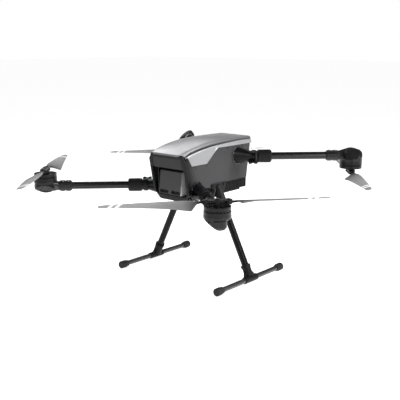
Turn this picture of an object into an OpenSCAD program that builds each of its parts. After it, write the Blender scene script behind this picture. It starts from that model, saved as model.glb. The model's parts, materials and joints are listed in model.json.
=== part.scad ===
// Folding quadcopter airframe: a tall fuselage, four folding arms at two heights,
// folding two-blade propellers, a front battery bay and two T-shaped landing legs.
// Millimetres. +Z up, nose towards -Y, the craft's own left side at +X.
// The origin is on the ground, under the middle of the four motors.

/* [Stance] */
// Height of the belly above the ground
belly_height = 322; // [280:1:380]
// Distance from the centre to each motor axis
motor_radius = 620; // [600:1:660]
// Angle between an arm and the left-right axis
arm_angle = 44.2; // [42:0.2:46]
// Front arm axis above the belly
front_arm_up = 43; // [42:1:46]
// Rear arm axis above the belly
rear_arm_up = 155; // [152:1:162]

/* [Fuselage] */
// Half width over the side panels
body_half_w = 91; // [90:1:96]
// Fuselage nose at its top corner, ahead of the centre
nose_reach = 204; // [198:1:214]
// Fuselage tail at its top edge, behind the centre
tail_reach = 229; // [224:1:250]
// Height of the nose's top corner above the belly
nose_h = 192; // [190:1:196]
// Height of the spine's shoulder above the belly
spine_h = 227; // [224:1:236]
// How far the nose's foot lies behind its top corner
nose_rake = 37; // [34:1:40]
// How far the tail's foot lies ahead of its top edge
tail_rake = 32; // [28:1:36]
// Extra height of the spine's crown over its shoulders
crown = 7; // [3:1:10]
// Thickness of the moulded shells
shell_wall = 2.5; // [2:0.1:3]
// Gap between neighbouring shells
seam = 0.4; // [0.3:0.1:0.8]

/* [Battery] */
// Battery width
battery_w = 114; // [108:1:118]
// Battery height
battery_h = 92; // [86:1:94]
// Battery length
battery_l = 215; // [190:1:225]

/* [Arms] */
// Outside diameter of the arm tubes
arm_tube_d = 30; // [28:0.5:31]
// Wall of the arm tubes
arm_tube_wall = 1.5; // [1:0.1:2]
// Radius of the flange that holds each arm root to the fuselage
root_flange_r = 38; // [36:0.5:40]
// Distance of the rear arm flanges behind the centre
rear_flange_y = 131; // [124:1:140]
// Distance from the centre to the fold pin, along the arm
fold_pin_x = 224; // [222:1:230]
// Offset of the fold pin from the arm axis
fold_pin_y = 31; // [30:0.5:34]
// Radius of the fold pin
fold_pin_r = 4; // [3.5:0.1:4.4]
// Outside radius of the locking sleeve
sleeve_r = 26.5; // [25.8:0.1:27.2]
// Length of the locking sleeve
sleeve_l = 56; // [50:1:60]

/* [Motors] */
// Outside diameter of the rotating bell
bell_d = 90; // [86:1:92]
// Height of the rotating bell
bell_h = 14.5; // [13:0.5:18]
// Height of the motor's fixed foot ring
foot_ring_h = 13; // [10:0.5:16]
// Open slot between the foot ring and the bell
bell_slot = 2.4; // [1:0.1:4]
// Top face of the motor mount above the arm axis
mount_rise = 22; // [21:0.5:24]

/* [Propellers] */
// Propeller diameter
prop_d = 762; // [720:2:780]
// Propeller pitch
prop_pitch = 240; // [200:5:260]
// Distance from the motor axis to each blade's fold bolt
blade_bolt_x = 36; // [35:0.5:38]
// Radius of each blade's fold bolt
blade_bolt_r = 3; // [2.5:0.1:3.3]
// Angle of the blades from the arm when open
blade_rest_angle = 94.6; // [92:0.2:97]

/* [Landing gear] */
// Outside diameter of the leg tubes
leg_tube_d = 28; // [26:0.5:30]
// Sideways reach of each skid from the centre
skid_reach = 258; // [245:1:275]
// Length of each skid over its end caps
skid_l = 428; // [380:1:480]
// Outside diameter of the skid tubes
skid_tube_d = 20; // [18:0.5:22]
// Outside diameter of the rubber end caps
skid_cap_d = 31; // [30:0.5:36]

/* [Payload] */
// Middle of the payload holes, behind the centre
payload_y = -12; // [-30:1:-6]
// Payload hole spacing across the belly
payload_dx = 60; // [50:1:64]
// Payload hole spacing along the belly
payload_dy = 80; // [70:1:84]
// Radius of the payload holes
payload_hole_r = 2.1; // [1.6:0.1:2.6]

/* [Hidden] */
$fn = 64;
arms = ["front_left", "front_right", "rear_left", "rear_right"];
arm_pieces = ["knuckle", "tube", "lock_sleeve", "motor_mount", "stator", "bell",
              "prop_hub", "blade_a", "blade_b"];
NODES = concat(
    ["top_cover", "left_side_panel", "right_side_panel", "rear_panel", "nose_bezel",
     "nose_visor", "bay_liner", "belly_tray", "cooling_grille", "side_frames",
     "frame_decks", "avionics_stack", "gps_module", "front_arm_roots", "rear_arm_roots",
     "hinge_pins", "leg_brackets", "leg_tubes", "skid_joints", "skid_tubes",
     "skid_caps", "body_screws", "battery_pack", "battery_handle"],
    [for (a = arms) for (p = arm_pieces) str(a, "_", p)]);

// Fits
running_gap = 0.06;      // pins in bores that turn
slip_gap = 0.15;         // tubes in sockets that don't
moving_gap = 0.4;        // faces that pass each other
turning_gap = 0.3;       // a sleeve on the part it turns on

// Fuselage, heights above the belly
shoulder_mid_y = 57;     // where the shoulder line is highest
nose_tan = nose_rake / nose_h;
tail_tan = tail_rake / 200;
tail_angle = atan(tail_tan);
nose_angle = atan(nose_tan);
crease_drop = 11.5;      // crease line below the shoulder
edge_high = 198;         // cover's lower edge, middle and rear
edge_low = 144;          // cover's lower edge, on the nose flank
nose_kink = -nose_reach + 9;    // stations where the cover's lower edge turns
flank_kink = -nose_reach + 41;
belly_kink = -nose_reach + 132;
spine_kink = 2;
tray_h = 55;             // top of the belly tray
frame_x = 84;            // outer face of the side frames
frame_t = 3;             // thickness of the side frames and decks
bezel_depth = 13;
corner_set = 18;         // how far the cover's front edge is set back on the flanks
corner_start = 70;       // half width of the straight part of that edge
lip_h = 8;               // the cover's turned-down front lip
bay_floor = 28;          // battery floor above the belly
bay_top = bay_floor + battery_h + 6;
window_half_w = 82;
liner_wall = 1.6;
lower_deck_up = bay_floor - liner_wall - frame_t - 0.3;
upper_deck_up = bay_top + liner_wall + 0.3;
lower_deck_half = 76;
frame_low = 34;

// Arms, in the arm's own frame: x outwards, z towards the motor, y to the fold side
split_x = fold_pin_x - 2;
ring_x = split_x - 11;    // inner face of the ring at the root's end
root_end_r = 20.5;
root_neck_r = 31;        // where the root leaves its flange
flange_face = body_half_w + 3;
front_flange_y = -nose_y(front_arm_up) - (bezel_depth + root_flange_r + 1) / cos(nose_angle);
ear_r = 8;
ear_back = 27;           // how far the root's ears reach back from the split
ear_t = 5.4;             // thickness of each hinge ear
ear_top = 23;            // outer faces of the root's ears
root_ear_z = ear_top - ear_t;
knuckle_ear_z = root_ear_z - 0.3 - ear_t;
knuckle_r = 21.6;
sleeve_x = fold_pin_x + ear_r + 2;
knuckle_end = sleeve_x + sleeve_l - 4;
tube_r = arm_tube_d / 2;
tube_x0 = sleeve_x + 4;
clamp_x = motor_radius - 104;
clamp_l = 52;
clamp_r = 20;
tube_x1 = clamp_x + clamp_l - 2;
bell_r = bell_d / 2;
mount_r = bell_r + 1;
bell_z = mount_rise + foot_ring_h + bell_slot;
bell_top = bell_z + bell_h;
shaft_r = 4;
hub_base_h = 6;
hub_plate_t = 3;
blade_t = 7.6;           // thickness of a blade's root lug
hub_slot = blade_t + 2 * moving_gap;
prop_rise = bell_top + hub_base_h + hub_plate_t + hub_slot / 2;
hub_half_w = 13;
cap_tilt = 40;           // tilt of the speed controller's cooling cap
cap_r = 37;              // outside radius of that cap
cap_h = 9;

// Landing gear
leg_y = 5;
leg_top_up = 30;         // leg axis above the belly at the side panel
cap_r_skid = skid_cap_d / 2;
skid_z = cap_r_skid;
leg_dx = skid_reach - body_half_w;
leg_dz = belly_height + leg_top_up - skid_z;
leg_lean = atan2(leg_dx, leg_dz);
leg_len = sqrt(leg_dx * leg_dx + leg_dz * leg_dz);

// Fuselage lines
function nose_y(up) = -nose_reach + (nose_h - up) * nose_tan;
function tail_y(up) = tail_reach - (spine_h - 3 - up) * tail_tan;
function shoulder(y) = y < shoulder_mid_y
    ? spine_h - (spine_h - nose_h) * pow((shoulder_mid_y - y) / (shoulder_mid_y + nose_reach), 2.5)
    : spine_h - 3 * pow((y - shoulder_mid_y) / (tail_reach - shoulder_mid_y), 2);
function crown_at(y) = crown * max(0, sin(180 * pow((y + nose_reach) / (tail_reach + nose_reach), 0.8)));
function cover_edge(y) = min(shoulder(y) - crease_drop - 4, lookup(y, [
    [-nose_reach, nose_h - 4], [nose_kink, nose_h - 7], [flank_kink, edge_low + 1],
    [belly_kink, edge_low], [spine_kink, edge_high + 1], [tail_reach, edge_high - 1]]));

// Half section of the cover from the middle of the top to its lower edge: [x, up] pairs
function half_section(y, inset) =
    let (s = shoulder(y) - inset, c = crown_at(y), w = body_half_w + 1 - inset,
         edge = cover_edge(y), crease = s - crease_drop)
    concat(
        [for (t = [0, 0.25, 0.5, 0.75]) [t * (w - 22), s + c * (1 - t * t)]],
        [for (a = [90:-15:15]) [w - 22 + 14.5 * cos(a), s - 9 + 9 * sin(a)]],
        [[w - 7.3, crease + 1], [w - 6.6, crease - 1.5],
         [w - 5.2, crease - (crease - edge) * 0.2],
         [w - 2.6, crease - (crease - edge) * 0.6], [w, edge]]);
function full_section(y, inset) =
    let (h = half_section(y, inset), n = len(h))
    concat([for (i = [n - 1:-1:1]) [-h[i][0], h[i][1]]], h);

// A closed solid through rings of points, each ring the same length
module loft(rings) {
    n = len(rings[0]);
    m = len(rings);
    points = [for (r = rings) for (p = r) p];
    sides = [for (k = [0:m - 2]) for (i = [0:n - 1])
        let (a = k * n + i, b = k * n + (i + 1) % n)
        each [[a, b, b + n], [a, b + n, a + n]]];
    polyhedron(points, concat(
        sides, [[for (i = [n - 1:-1:0]) i]], [[for (i = [0:n - 1]) (m - 1) * n + i]]));
}

// A thin shell through open lines of points: outer and inner lines of the same length
module shell_loft(outer, inner) {
    n = len(outer[0]);
    m = len(outer);
    ring = 2 * n;
    points = [for (k = [0:m - 1]) each concat(outer[k], [for (i = [n - 1:-1:0]) inner[k][i]])];
    sides = [for (k = [0:m - 2]) for (i = [0:ring - 1])
        let (a = k * ring + i, b = k * ring + (i + 1) % ring)
        each [[a, b, b + ring], [a, b + ring, a + ring]]];
    ends = [for (i = [0:n - 2])
        let (a = i, b = i + 1, c = ring - 2 - i, d = ring - 1 - i, e = (m - 1) * ring)
        each [[a, c, b], [a, d, c], [e + a, e + b, e + c], [e + a, e + c, e + d]]];
    polyhedron(points, concat(sides, ends));
}

// Places children given in an arm's own frame
module at_arm(rear, right) {
    mirror([right ? 1 : 0, 0, 0])
        translate([0, 0, belly_height + (rear ? rear_arm_up : front_arm_up)])
            rotate([0, 0, rear ? arm_angle : -arm_angle])
                rotate([rear ? 180 : 0, 0, 0])
                    children();
}

module along_x(r, x0, x1) {
    translate([x0, 0, 0]) rotate([0, 90, 0]) cylinder(r = r, h = x1 - x0);
}

// ---------------------------------------------------------------- fuselage shells

module lift() {
    translate([0, 0, belly_height]) children();
}

cover_ys = concat(
    [-nose_reach + 0.5, nose_kink, -nose_reach + 15, -nose_reach + 28, flank_kink],
    [for (t = [0.2:0.2:0.8]) flank_kink + t * (belly_kink - flank_kink)],
    [for (t = [0:0.25:1]) belly_kink + t * (spine_kink - belly_kink)],
    [for (t = [0.125:0.125:1]) spine_kink + t * (tail_reach - spine_kink)]);

// A station's line across the cover, leaning as the nose does in front and the tail behind
function station_lean(y) =
    let (t = (y + nose_reach) / (tail_reach + nose_reach)) -nose_tan + t * (nose_tan + tail_tan);
// On the flanks the cover's front edge is set back, so that the bezel forms the nose's corners
function set_back(x, y) = corner_set * max(0, flank_kink - y) / (flank_kink + nose_reach)
    * min(1, max(0, (abs(x) - corner_start) / 12));
function lean_y(y, up) = y + station_lean(y) * (up - shoulder(y));
function cover_line(y, inset) = [for (p = full_section(y, inset))
    [p[0], lean_y(y, p[1]) + set_back(p[0], y), p[1]]];

// The lip that turns down over the bezel: the front line, brought in and ahead
function lip_line(inset, ahead) = [for (p = cover_line(cover_ys[0], 0))
    let (f = min(1, max(0, (corner_start - abs(p[0])) / 17)))
    [p[0] * (1 - f * inset / body_half_w), p[1] + f * (inset * nose_tan - ahead), p[2] - f * inset]];

module top_cover() {
    lip_t = 2;
    clear = 2.5 * seam;
    color("silver") lift() shell_loft(
        concat([lip_line(lip_h, lip_t + clear), lip_line(3, lip_t + clear), lip_line(0.8, lip_t - 0.5)],
               [for (y = cover_ys) cover_line(y, 0)]),
        concat([lip_line(lip_h, clear), lip_line(4.5, clear), lip_line(shell_wall + 0.3, seam)],
               [for (y = cover_ys) cover_line(y, shell_wall)]));
}

// Rounded box between the nose and tail lines, as a hull of a low and a high slab
module fuselage_form(inset, up0, up1) {
    corner = 14;
    w = body_half_w - inset;
    hull() for (up = [up0, up1]) for (side = [-1, 1]) {
        translate([side * (w - corner + inset), tail_y(up) - corner, up])
            cylinder(r = corner - inset, h = 0.01, $fn = 32);
        translate([side * (w - 0.5) - 0.5, nose_y(up) + bezel_depth + seam, up])
            cube([1, 1, 0.01]);
    }
}

// The lower edge of a side panel, lower between the front arm and the leg
dip_h = 17;
function panel_foot(gap) = [[-25 + gap, tray_h], [-32 + gap, tray_h - dip_h - gap],
    [-72 - gap, tray_h - dip_h - gap], [-79 - gap, tray_h]];

module side_outline() {
    rear_y = tail_reach + 20;
    front_y = nose_y(nose_h);
    polygon(concat(
        [for (p = panel_foot(0)) [p[0], p[1] + seam]],
        [[nose_y(tray_h), tray_h + seam], [front_y, cover_edge(cover_ys[0]) - seam]],
        [for (y = cover_ys) [lean_y(y, cover_edge(y)) + set_back(body_half_w, y), cover_edge(y) - seam]],
        [[rear_y, cover_edge(tail_reach) - seam], [rear_y, tray_h + seam]]));
}

module side_panel_solid() {
    split = body_half_w - 15;
    difference() {
        intersection() {
            difference() {
                fuselage_form(0, tray_h - 20, edge_high + 10);
                fuselage_form(shell_wall, tray_h - 30, edge_high + 20);
            }
            translate([split, 0, 0]) rotate([90, 0, 90])
                linear_extrude(30) side_outline();
        }
        root_clearance();
    }
}

// Round holes for the flanges of the arm roots
module root_clearance() {
    for (side = [-1, 1]) for (rear = [false, true])
        translate([0, rear ? rear_flange_y : -front_flange_y, rear ? rear_arm_up : front_arm_up])
            rotate([0, side * 90, 0]) translate([0, 0, frame_x - 20])
                cylinder(r = root_flange_r + seam, h = 50);
}

module left_side_panel() {
    color("dimgray") lift() side_panel_solid();
}

module right_side_panel() {
    mirror([1, 0, 0]) left_side_panel();
}

// Children are drawn in the tail plane: x across, y up the slope from the foot, z inwards
module on_tail() {
    translate([0, tail_y(0), 0]) rotate([90 - tail_angle, 0, 0]) children();
}

module rear_panel() {
    half = body_half_w - 15 - seam;
    slope = cos(tail_angle);
    under = [for (p = full_section(tail_reach, shell_wall + seam)) if (p[1] > edge_high - 1)
             [p[0], p[1] / slope]];
    vent_w = 80;
    color("dimgray") lift() difference() {
        on_tail() linear_extrude(shell_wall) polygon(concat(
            [[-half, (tray_h + seam) / slope], [-half, (edge_high - 0.5) / slope]],
            under, [[half, (edge_high - 0.5) / slope], [half, (tray_h + seam) / slope]]));
        for (up = [92:12:152])
            on_tail() translate([-vent_w / 2, up, -1]) cube([vent_w, 4, shell_wall + 2]);
    }
}

// ---------------------------------------------------------------- nose

// Children are drawn in the nose plane: x across, y up the slope from the foot, z outwards
module on_nose() {
    translate([0, nose_y(0), 0]) rotate([90 + nose_angle, 0, 0]) children();
}

nose_len = nose_h / cos(nose_angle);
rim_half = body_half_w + 3.5;

function corner_arc(cx, cy, r, a0, a1) =
    [for (k = [0:5]) [cx + r * cos(a0 + (a1 - a0) * k / 5), cy + r * sin(a0 + (a1 - a0) * k / 5)]];

// The rim's outline, brought in all round by inset
function rim_points(inset) =
    let (under_w = body_half_w - 6.6 - shell_wall - 2 * seam - inset,
         under_top = nose_len - shell_wall - 2 * seam - inset, lip_up = nose_len - 22, r = 13,
         right = concat([[66 - inset * 0.6, inset], [rim_half - 3 - inset, 34 + inset * 0.4],
                         [rim_half - inset, 84], [rim_half - inset, lip_up - 6],
                         [rim_half - 2 - inset, lip_up + 3], [under_w + 3, lip_up + 9]],
                        corner_arc(under_w - r, under_top - r, r, 36, 90)))
    concat(right, [for (i = [len(right) - 1:-1:0]) [-right[i][0], right[i][1]]]);

module window_outline(grow = 0) {
    w = window_half_w + grow;
    sill = (bay_floor - liner_wall - seam) / cos(nose_angle) - bezel_depth * nose_tan - grow;
    head = visor_low - 4 + grow;
    foot_half = w - 10;
    polygon([[-foot_half, sill], [foot_half, sill], [w, sill + 10], [w, head],
             [-w, head], [-w, sill + 10]]);
}

visor_low = 138;
visor_high = nose_len - 18;

module visor_outline(grow = 0) {
    w = window_half_w - 8 + grow;
    right = concat([[w, visor_low - grow]],
                   corner_arc(w - 8, visor_high + grow - 8, 8, 0, 90));
    n = len(right);
    polygon(concat(right, [for (i = [n - 1:-1:0]) [-right[i][0], right[i][1]]]));
}

// [depth, inset] down the bezel's rounded outer side
rim_profile = [[-bezel_depth, 3.1], [-9.5, 1.1], [-6, 0], [-2.6, 1.2], [-0.8, 3.2], [0, 6]];

module nose_bezel() {
    visor_pocket = 4;
    chamfer = 2;
    color("black") lift() on_nose() {
        difference() {
            loft([for (d = rim_profile) [for (p = rim_points(d[1])) [p[0], p[1], d[0]]]]);
            translate([0, 0, -bezel_depth - 1]) linear_extrude(bezel_depth + 2) window_outline();
            for (step = [0:chamfer - 1]) translate([0, 0, step - chamfer])
                linear_extrude(chamfer + 1) window_outline(0.5 * (step + 1));
            translate([0, 0, -visor_pocket]) linear_extrude(visor_pocket + 1) visor_outline(seam);
        }
    }
}

module nose_visor() {
    visor_t = 3;
    color("darkslategray") lift() on_nose()
        translate([0, 0, -4]) linear_extrude(visor_t) visor_outline();
}

// ---------------------------------------------------------------- battery bay

battery_y0 = nose_y(bay_floor) - 9.5;
battery_up = bay_floor + 0.3;
bay_back = battery_y0 + battery_l + 14;
grip_in = 8;             // finger slots: inner and outer end, foot, height and depth
grip_out = 52;
grip_up = 3;
grip_h = 12.5;
grip_depth = 14;
liner_front = nose_y(bay_floor) + bezel_depth + 4;

module bay_liner() {
    half = window_half_w - 3;
    rail_in = battery_w / 2 + 0.3;
    rail_ends = 30;
    rail_h = 8;
    sill_half = half - 9;
    color("black") lift() {
        difference() {
            translate([-half, liner_front, bay_floor - liner_wall])
                cube([2 * half, bay_back - liner_front, bay_top - bay_floor + 2 * liner_wall]);
            translate([-half + liner_wall, liner_front - 1, bay_floor])
                cube([2 * (half - liner_wall), bay_back - liner_front + 1 - liner_wall,
                      bay_top - bay_floor]);
        }
        // the floor runs on over the bezel's sill
        translate([-sill_half, nose_y(bay_floor) + 3, bay_floor - liner_wall])
            cube([2 * sill_half, liner_front - nose_y(bay_floor) - 3, liner_wall]);
        for (side = [-1, 1]) for (up = [0.2, 0.72])
            translate([side > 0 ? rail_in : -half + liner_wall, liner_front + rail_ends,
                       bay_floor + up * battery_h])
                cube([half - liner_wall - rail_in, bay_back - liner_front - 2 * rail_ends, rail_h]);
    }
}

module battery_pack() {
    top = battery_up + battery_h;
    back = battery_y0 + battery_l;
    face_lean = 11;
    rib = 3;
    color("dimgray") lift() difference() {
        rotate([90, 0, 90]) translate([0, 0, -battery_w / 2]) linear_extrude(battery_w)
            polygon([[battery_y0, battery_up], [back, battery_up], [back, top],
                     [battery_y0 + face_lean + 3, top], [battery_y0 + face_lean, top - 3]]);
        // two finger slots over the pull bar, with a web between them
        for (side = [-1, 1])
            translate([side > 0 ? grip_in : -grip_out, battery_y0 - 1, battery_up + grip_up])
                cube([grip_out - grip_in, grip_depth + 1, grip_h]);
        // cooling grooves along the top
        for (x = [-42:12:42])
            translate([x - rib / 2, battery_y0 + 40, top - 1.5])
                cube([rib, battery_l - 70, 3]);
    }
}

// The pull bar along the foot of both finger slots
module battery_handle() {
    bar_t = 4;
    bar_h = 4.5;
    color("dimgray") lift() for (side = [-1, 1])
        translate([side > 0 ? grip_in : -grip_out, battery_y0 + 0.5, battery_up + grip_up])
            cube([grip_out - grip_in, bar_t, bar_h]);
}

// ---------------------------------------------------------------- frame inside

frame_y0 = nose_y(0) + bezel_depth + 1;
frame_y1 = tail_y(0) - 12;

frame_mid_up = 120;      // where the frames' rear edge starts to slope

module side_frames() {
    color("darkgray") lift() for (side = [-1, 1])
        translate([side > 0 ? frame_x : -frame_x - frame_t, 0, 0]) rotate([90, 0, 90])
            linear_extrude(frame_t) polygon([
                [frame_y0, frame_low], [frame_y1, frame_low], [frame_y1, frame_mid_up],
                [frame_y1 - 12, edge_high - 6], [34, edge_high - 6], [-34, edge_low - 10],
                [frame_y0, edge_low - 10]]);
}

module frame_decks() {
    upper_half = frame_x - slip_gap;
    wire_hole_r = 12;
    color("darkgray") lift() {
        difference() {
            translate([-lower_deck_half, frame_y0, lower_deck_up])
                cube([2 * lower_deck_half, frame_y1 - frame_y0, frame_t]);
            payload_holes();
        }
        difference() {
            translate([-upper_half, frame_y0, upper_deck_up])
                cube([2 * upper_half, frame_y1 - frame_y0, frame_t]);
            for (y = [-70, 70])
                translate([0, y, upper_deck_up - 1]) cylinder(r = wire_hole_r, h = frame_t + 2);
        }
    }
}

module payload_holes() {
    for (x = [-0.5, 0.5]) for (y = [-0.5, 0.5])
        translate([x * payload_dx, payload_y + y * payload_dy, -1])
            cylinder(r = payload_hole_r, h = lower_deck_up + frame_t + 2);
}

module avionics_stack() {
    base = upper_deck_up + frame_t + 0.2;
    color("teal") lift() {
        // power board on four feet, with the controller over it
        translate([-45, -30, base + 5]) cube([90, 80, 2]);
        for (x = [-40, 40]) for (y = [-25, 45])
            translate([x, y, base]) cylinder(r = 4, h = 5);
        translate([-28, -14, base + 7]) cube([56, 48, 17]);
    }
}

module gps_module() {
    mast_y = 110;
    base = upper_deck_up + frame_t + 0.2;
    puck_up = spine_h - 24;
    color("white") lift() translate([0, mast_y, 0]) {
        translate([0, 0, base]) cylinder(r = 4, h = puck_up - base);
        translate([0, 0, base]) cylinder(r = 14, h = 3);
        translate([0, 0, puck_up]) cylinder(r = 27, h = 12);
    }
}

// ---------------------------------------------------------------- belly

tray_back = 44;

// The tray's form: flat belly, chamfered sides, upright edges
module tray_form(inset, y0, y1) {
    chamfer_up = 30;
    hull() {
        translate([-66 + inset, y0, inset]) cube([132 - 2 * inset, y1 - y0, 0.01]);
        translate([-body_half_w + 0.5 + inset, y0, chamfer_up])
            cube([2 * (body_half_w - 0.5 - inset), y1 - y0, tray_h - chamfer_up + inset]);
    }
}

module belly_tray() {
    front_y = nose_y(0) + bezel_depth + seam;
    boss_r = 6;
    color("black") lift() difference() {
        union() {
            difference() {
                tray_form(0, front_y, tray_back);
                tray_form(shell_wall, front_y - 1, tray_back + 1);
            }
            // bosses that carry the lower deck over the payload holes
            for (x = [-0.5, 0.5]) for (y = [-0.5, 0.5])
                translate([x * payload_dx, payload_y + y * payload_dy, 0.5])
                    cylinder(r = boss_r, h = lower_deck_up - 0.7);
        }
        root_clearance();
        payload_holes();
        rotate([90, 0, 90]) translate([0, 0, -1.5 * body_half_w]) linear_extrude(3 * body_half_w)
            polygon(concat(panel_foot(seam), [[-79 - seam, tray_h + 1], [-25 + seam, tray_h + 1]]));
    }
}

grille_y0 = tray_back + seam;
rib_pitch = 9.2;

module cooling_grille() {
    wall_x = frame_x + frame_t + 0.2;
    top = tray_h;
    low = 10;
    end_y = tail_y(low) - 2;
    step_y = 150;
    rib_t = 4.2;
    count = floor((end_y - grille_y0) / rib_pitch);
    color("black") lift() {
        difference() {
            translate([-body_half_w + 2, grille_y0, low])
                cube([2 * body_half_w - 4, end_y - grille_y0, top - low]);
            translate([-wall_x, grille_y0 - 1, low + 10])
                cube([2 * wall_x, end_y - grille_y0 - 2, top]);
            translate([-body_half_w, step_y, low - 1])
                cube([2 * body_half_w, end_y, 8]);
        }
        for (side = [-1, 1]) for (k = [0:count - 1])
            translate([side * (body_half_w - 1.2) - 1, grille_y0 + k * rib_pitch, low + 6])
                cube([2, rib_t, top - low - 9]);
    }
}

// ---------------------------------------------------------------- arm roots and hinges

// Children are drawn on an arm's flange, seen from the arm's frame: z out of the fuselage
module on_flange(rear) {
    rotate([0, 0, arm_angle])
        translate([frame_x + frame_t + 0.1, -flange_y(rear), 0])
            rotate([0, 90, 0]) children();
}

function flange_y(rear) = rear ? rear_flange_y : front_flange_y;
function stub_start(rear) = [cos(arm_angle) * flange_face + sin(arm_angle) * flange_y(rear),
    sin(arm_angle) * flange_face - cos(arm_angle) * flange_y(rear)];

// Children are given along a root's stub: x from the flange towards the hinge
module along_stub(rear) {
    start = stub_start(rear);
    translate([start[0], start[1], 0])
        rotate([0, 0, atan2(-start[1], ring_x - start[0])]) children();
}

// One arm root in its arm's frame: a bolted flange, a tapered stub that turns
// from the fuselage side to the arm's line, and two ears for the fold pin
module arm_root(rear) {
    flange_t = flange_face - frame_x - frame_t - 0.1;
    wire_r = 9;
    bolts = 6;
    head_r = 2.8;
    pocket_d = 18;
    difference() {
        union() {
            on_flange(rear) cylinder(r = root_flange_r, h = flange_t);
            hull() {
                on_flange(rear) translate([0, 0, flange_t - 1])
                    cylinder(r = root_neck_r, h = 1, $fn = 36);
                translate([ring_x - 1, 0, 0]) rotate([0, 90, 0])
                    cylinder(r = root_end_r, h = 1, $fn = 36);
            }
            along_x(ear_top + 2.5, ring_x, split_x);
            for (s = [-1, 1]) translate([0, 0, s > 0 ? root_ear_z : -ear_top]) {
                translate([split_x - ear_back, 0, 0]) cube([ear_back, fold_pin_y - 4, ear_t]);
                translate([split_x - ear_back, fold_pin_y - ear_r, 0])
                    cube([fold_pin_x - split_x + ear_back, 2 * ear_r, ear_t]);
                translate([fold_pin_x, fold_pin_y, 0]) cylinder(r = ear_r, h = ear_t);
            }
            for (k = [0:bolts - 1])
                on_flange(rear) rotate([0, 0, 7.5 + k * 360 / bolts])
                    translate([root_flange_r - 3.6, 0, flange_t - 0.5])
                        cylinder(r = head_r, h = 3, $fn = 24);
        }
        // bore for the fold pin
        translate([fold_pin_x, fold_pin_y, -ear_top - 1])
            cylinder(r = fold_pin_r + slip_gap, h = 2 * ear_top + 2);
        // way through for the motor wires
        along_stub(rear) along_x(wire_r, -20, 120);
        // tapering pocket between two side ribs, on the side away from the pin
        along_stub(rear) translate([0, -pocket_d, 0]) rotate([90, 0, 0])
            linear_extrude(40) polygon([[10, 11], [10, -11], [stub_len(rear) - 8, -3],
                                        [stub_len(rear) - 8, 3]]);
    }
}

function stub_len(rear) = norm([ring_x, 0] - stub_start(rear));

module arm_roots(rear) {
    color("black") for (right = [false, true]) at_arm(rear, right) arm_root(rear);
}

module front_arm_roots() {
    arm_roots(false);
}

module rear_arm_roots() {
    arm_roots(true);
}

module hinge_pins() {
    head_r = 6.5;
    color("silver") for (rear = [false, true]) for (right = [false, true])
        at_arm(rear, right) translate([fold_pin_x, fold_pin_y, 0]) {
            translate([0, 0, -ear_top - 3]) cylinder(r = fold_pin_r, h = 2 * ear_top + 6);
            for (s = [-1, 1]) for (x = [0, -ear_back + 4])
                translate([x, 0, s > 0 ? ear_top + 0.1 : -ear_top - 3.1])
                    cylinder(r = head_r, h = 3);
        }
}

// ---------------------------------------------------------------- arm, in the arm's frame

module knuckle() {
    collar_l = 5.6;
    color("black") difference() {
        union() {
            along_x(knuckle_r, split_x + moving_gap, knuckle_end);
            along_x(sleeve_r - 1.5, split_x + moving_gap, split_x + moving_gap + collar_l);
            for (s = [-1, 1]) translate([0, 0, s > 0 ? knuckle_ear_z : -knuckle_ear_z - ear_t]) {
                translate([split_x + moving_gap, 0, 0]) cube([9, fold_pin_y, ear_t]);
                translate([fold_pin_x, fold_pin_y, 0]) cylinder(r = ear_r - 0.2, h = ear_t);
            }
        }
        translate([fold_pin_x, fold_pin_y, -ear_top])
            cylinder(r = fold_pin_r + running_gap, h = 2 * ear_top);
        // clearance round the root's ears
        for (s = [-1, 1])
            translate([fold_pin_x, fold_pin_y, s > 0 ? root_ear_z - 0.3 : -ear_top - 6])
                cylinder(r = ear_r + 1, h = ear_t + 6.3);
        along_x(tube_r + slip_gap, tube_x0 - 0.3, knuckle_end + 1);
        along_x(11, split_x - 1, tube_x0 + 1);
    }
}

module lock_sleeve() {
    x1 = sleeve_x + sleeve_l;
    chamfer = 5;
    flute_r = 3;
    color("black") difference() {
        union() {
            along_x(sleeve_r, sleeve_x + 2, x1 - chamfer);
            translate([x1 - chamfer, 0, 0]) rotate([0, 90, 0])
                cylinder(r1 = sleeve_r, r2 = sleeve_r - chamfer + 1, h = chamfer);
            translate([sleeve_x, 0, 0]) rotate([0, 90, 0])
                cylinder(r1 = sleeve_r - 2, r2 = sleeve_r, h = 2);
        }
        along_x(knuckle_r + turning_gap, sleeve_x - 1, knuckle_end + 0.3);
        along_x(tube_r + turning_gap, knuckle_end - 1, x1 + 1);
        for (k = [0:15])
            rotate([k * 22.5, 0, 0]) translate([0, 0, sleeve_r + flute_r * 0.55])
                along_x(flute_r, sleeve_x + 8, x1 - chamfer - 4);
    }
}

module arm_tube() {
    color([0.12, 0.12, 0.13]) difference() {
        along_x(tube_r, tube_x0, tube_x1);
        along_x(tube_r - arm_tube_wall, tube_x0 - 1, tube_x1 + 1);
    }
}

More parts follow.
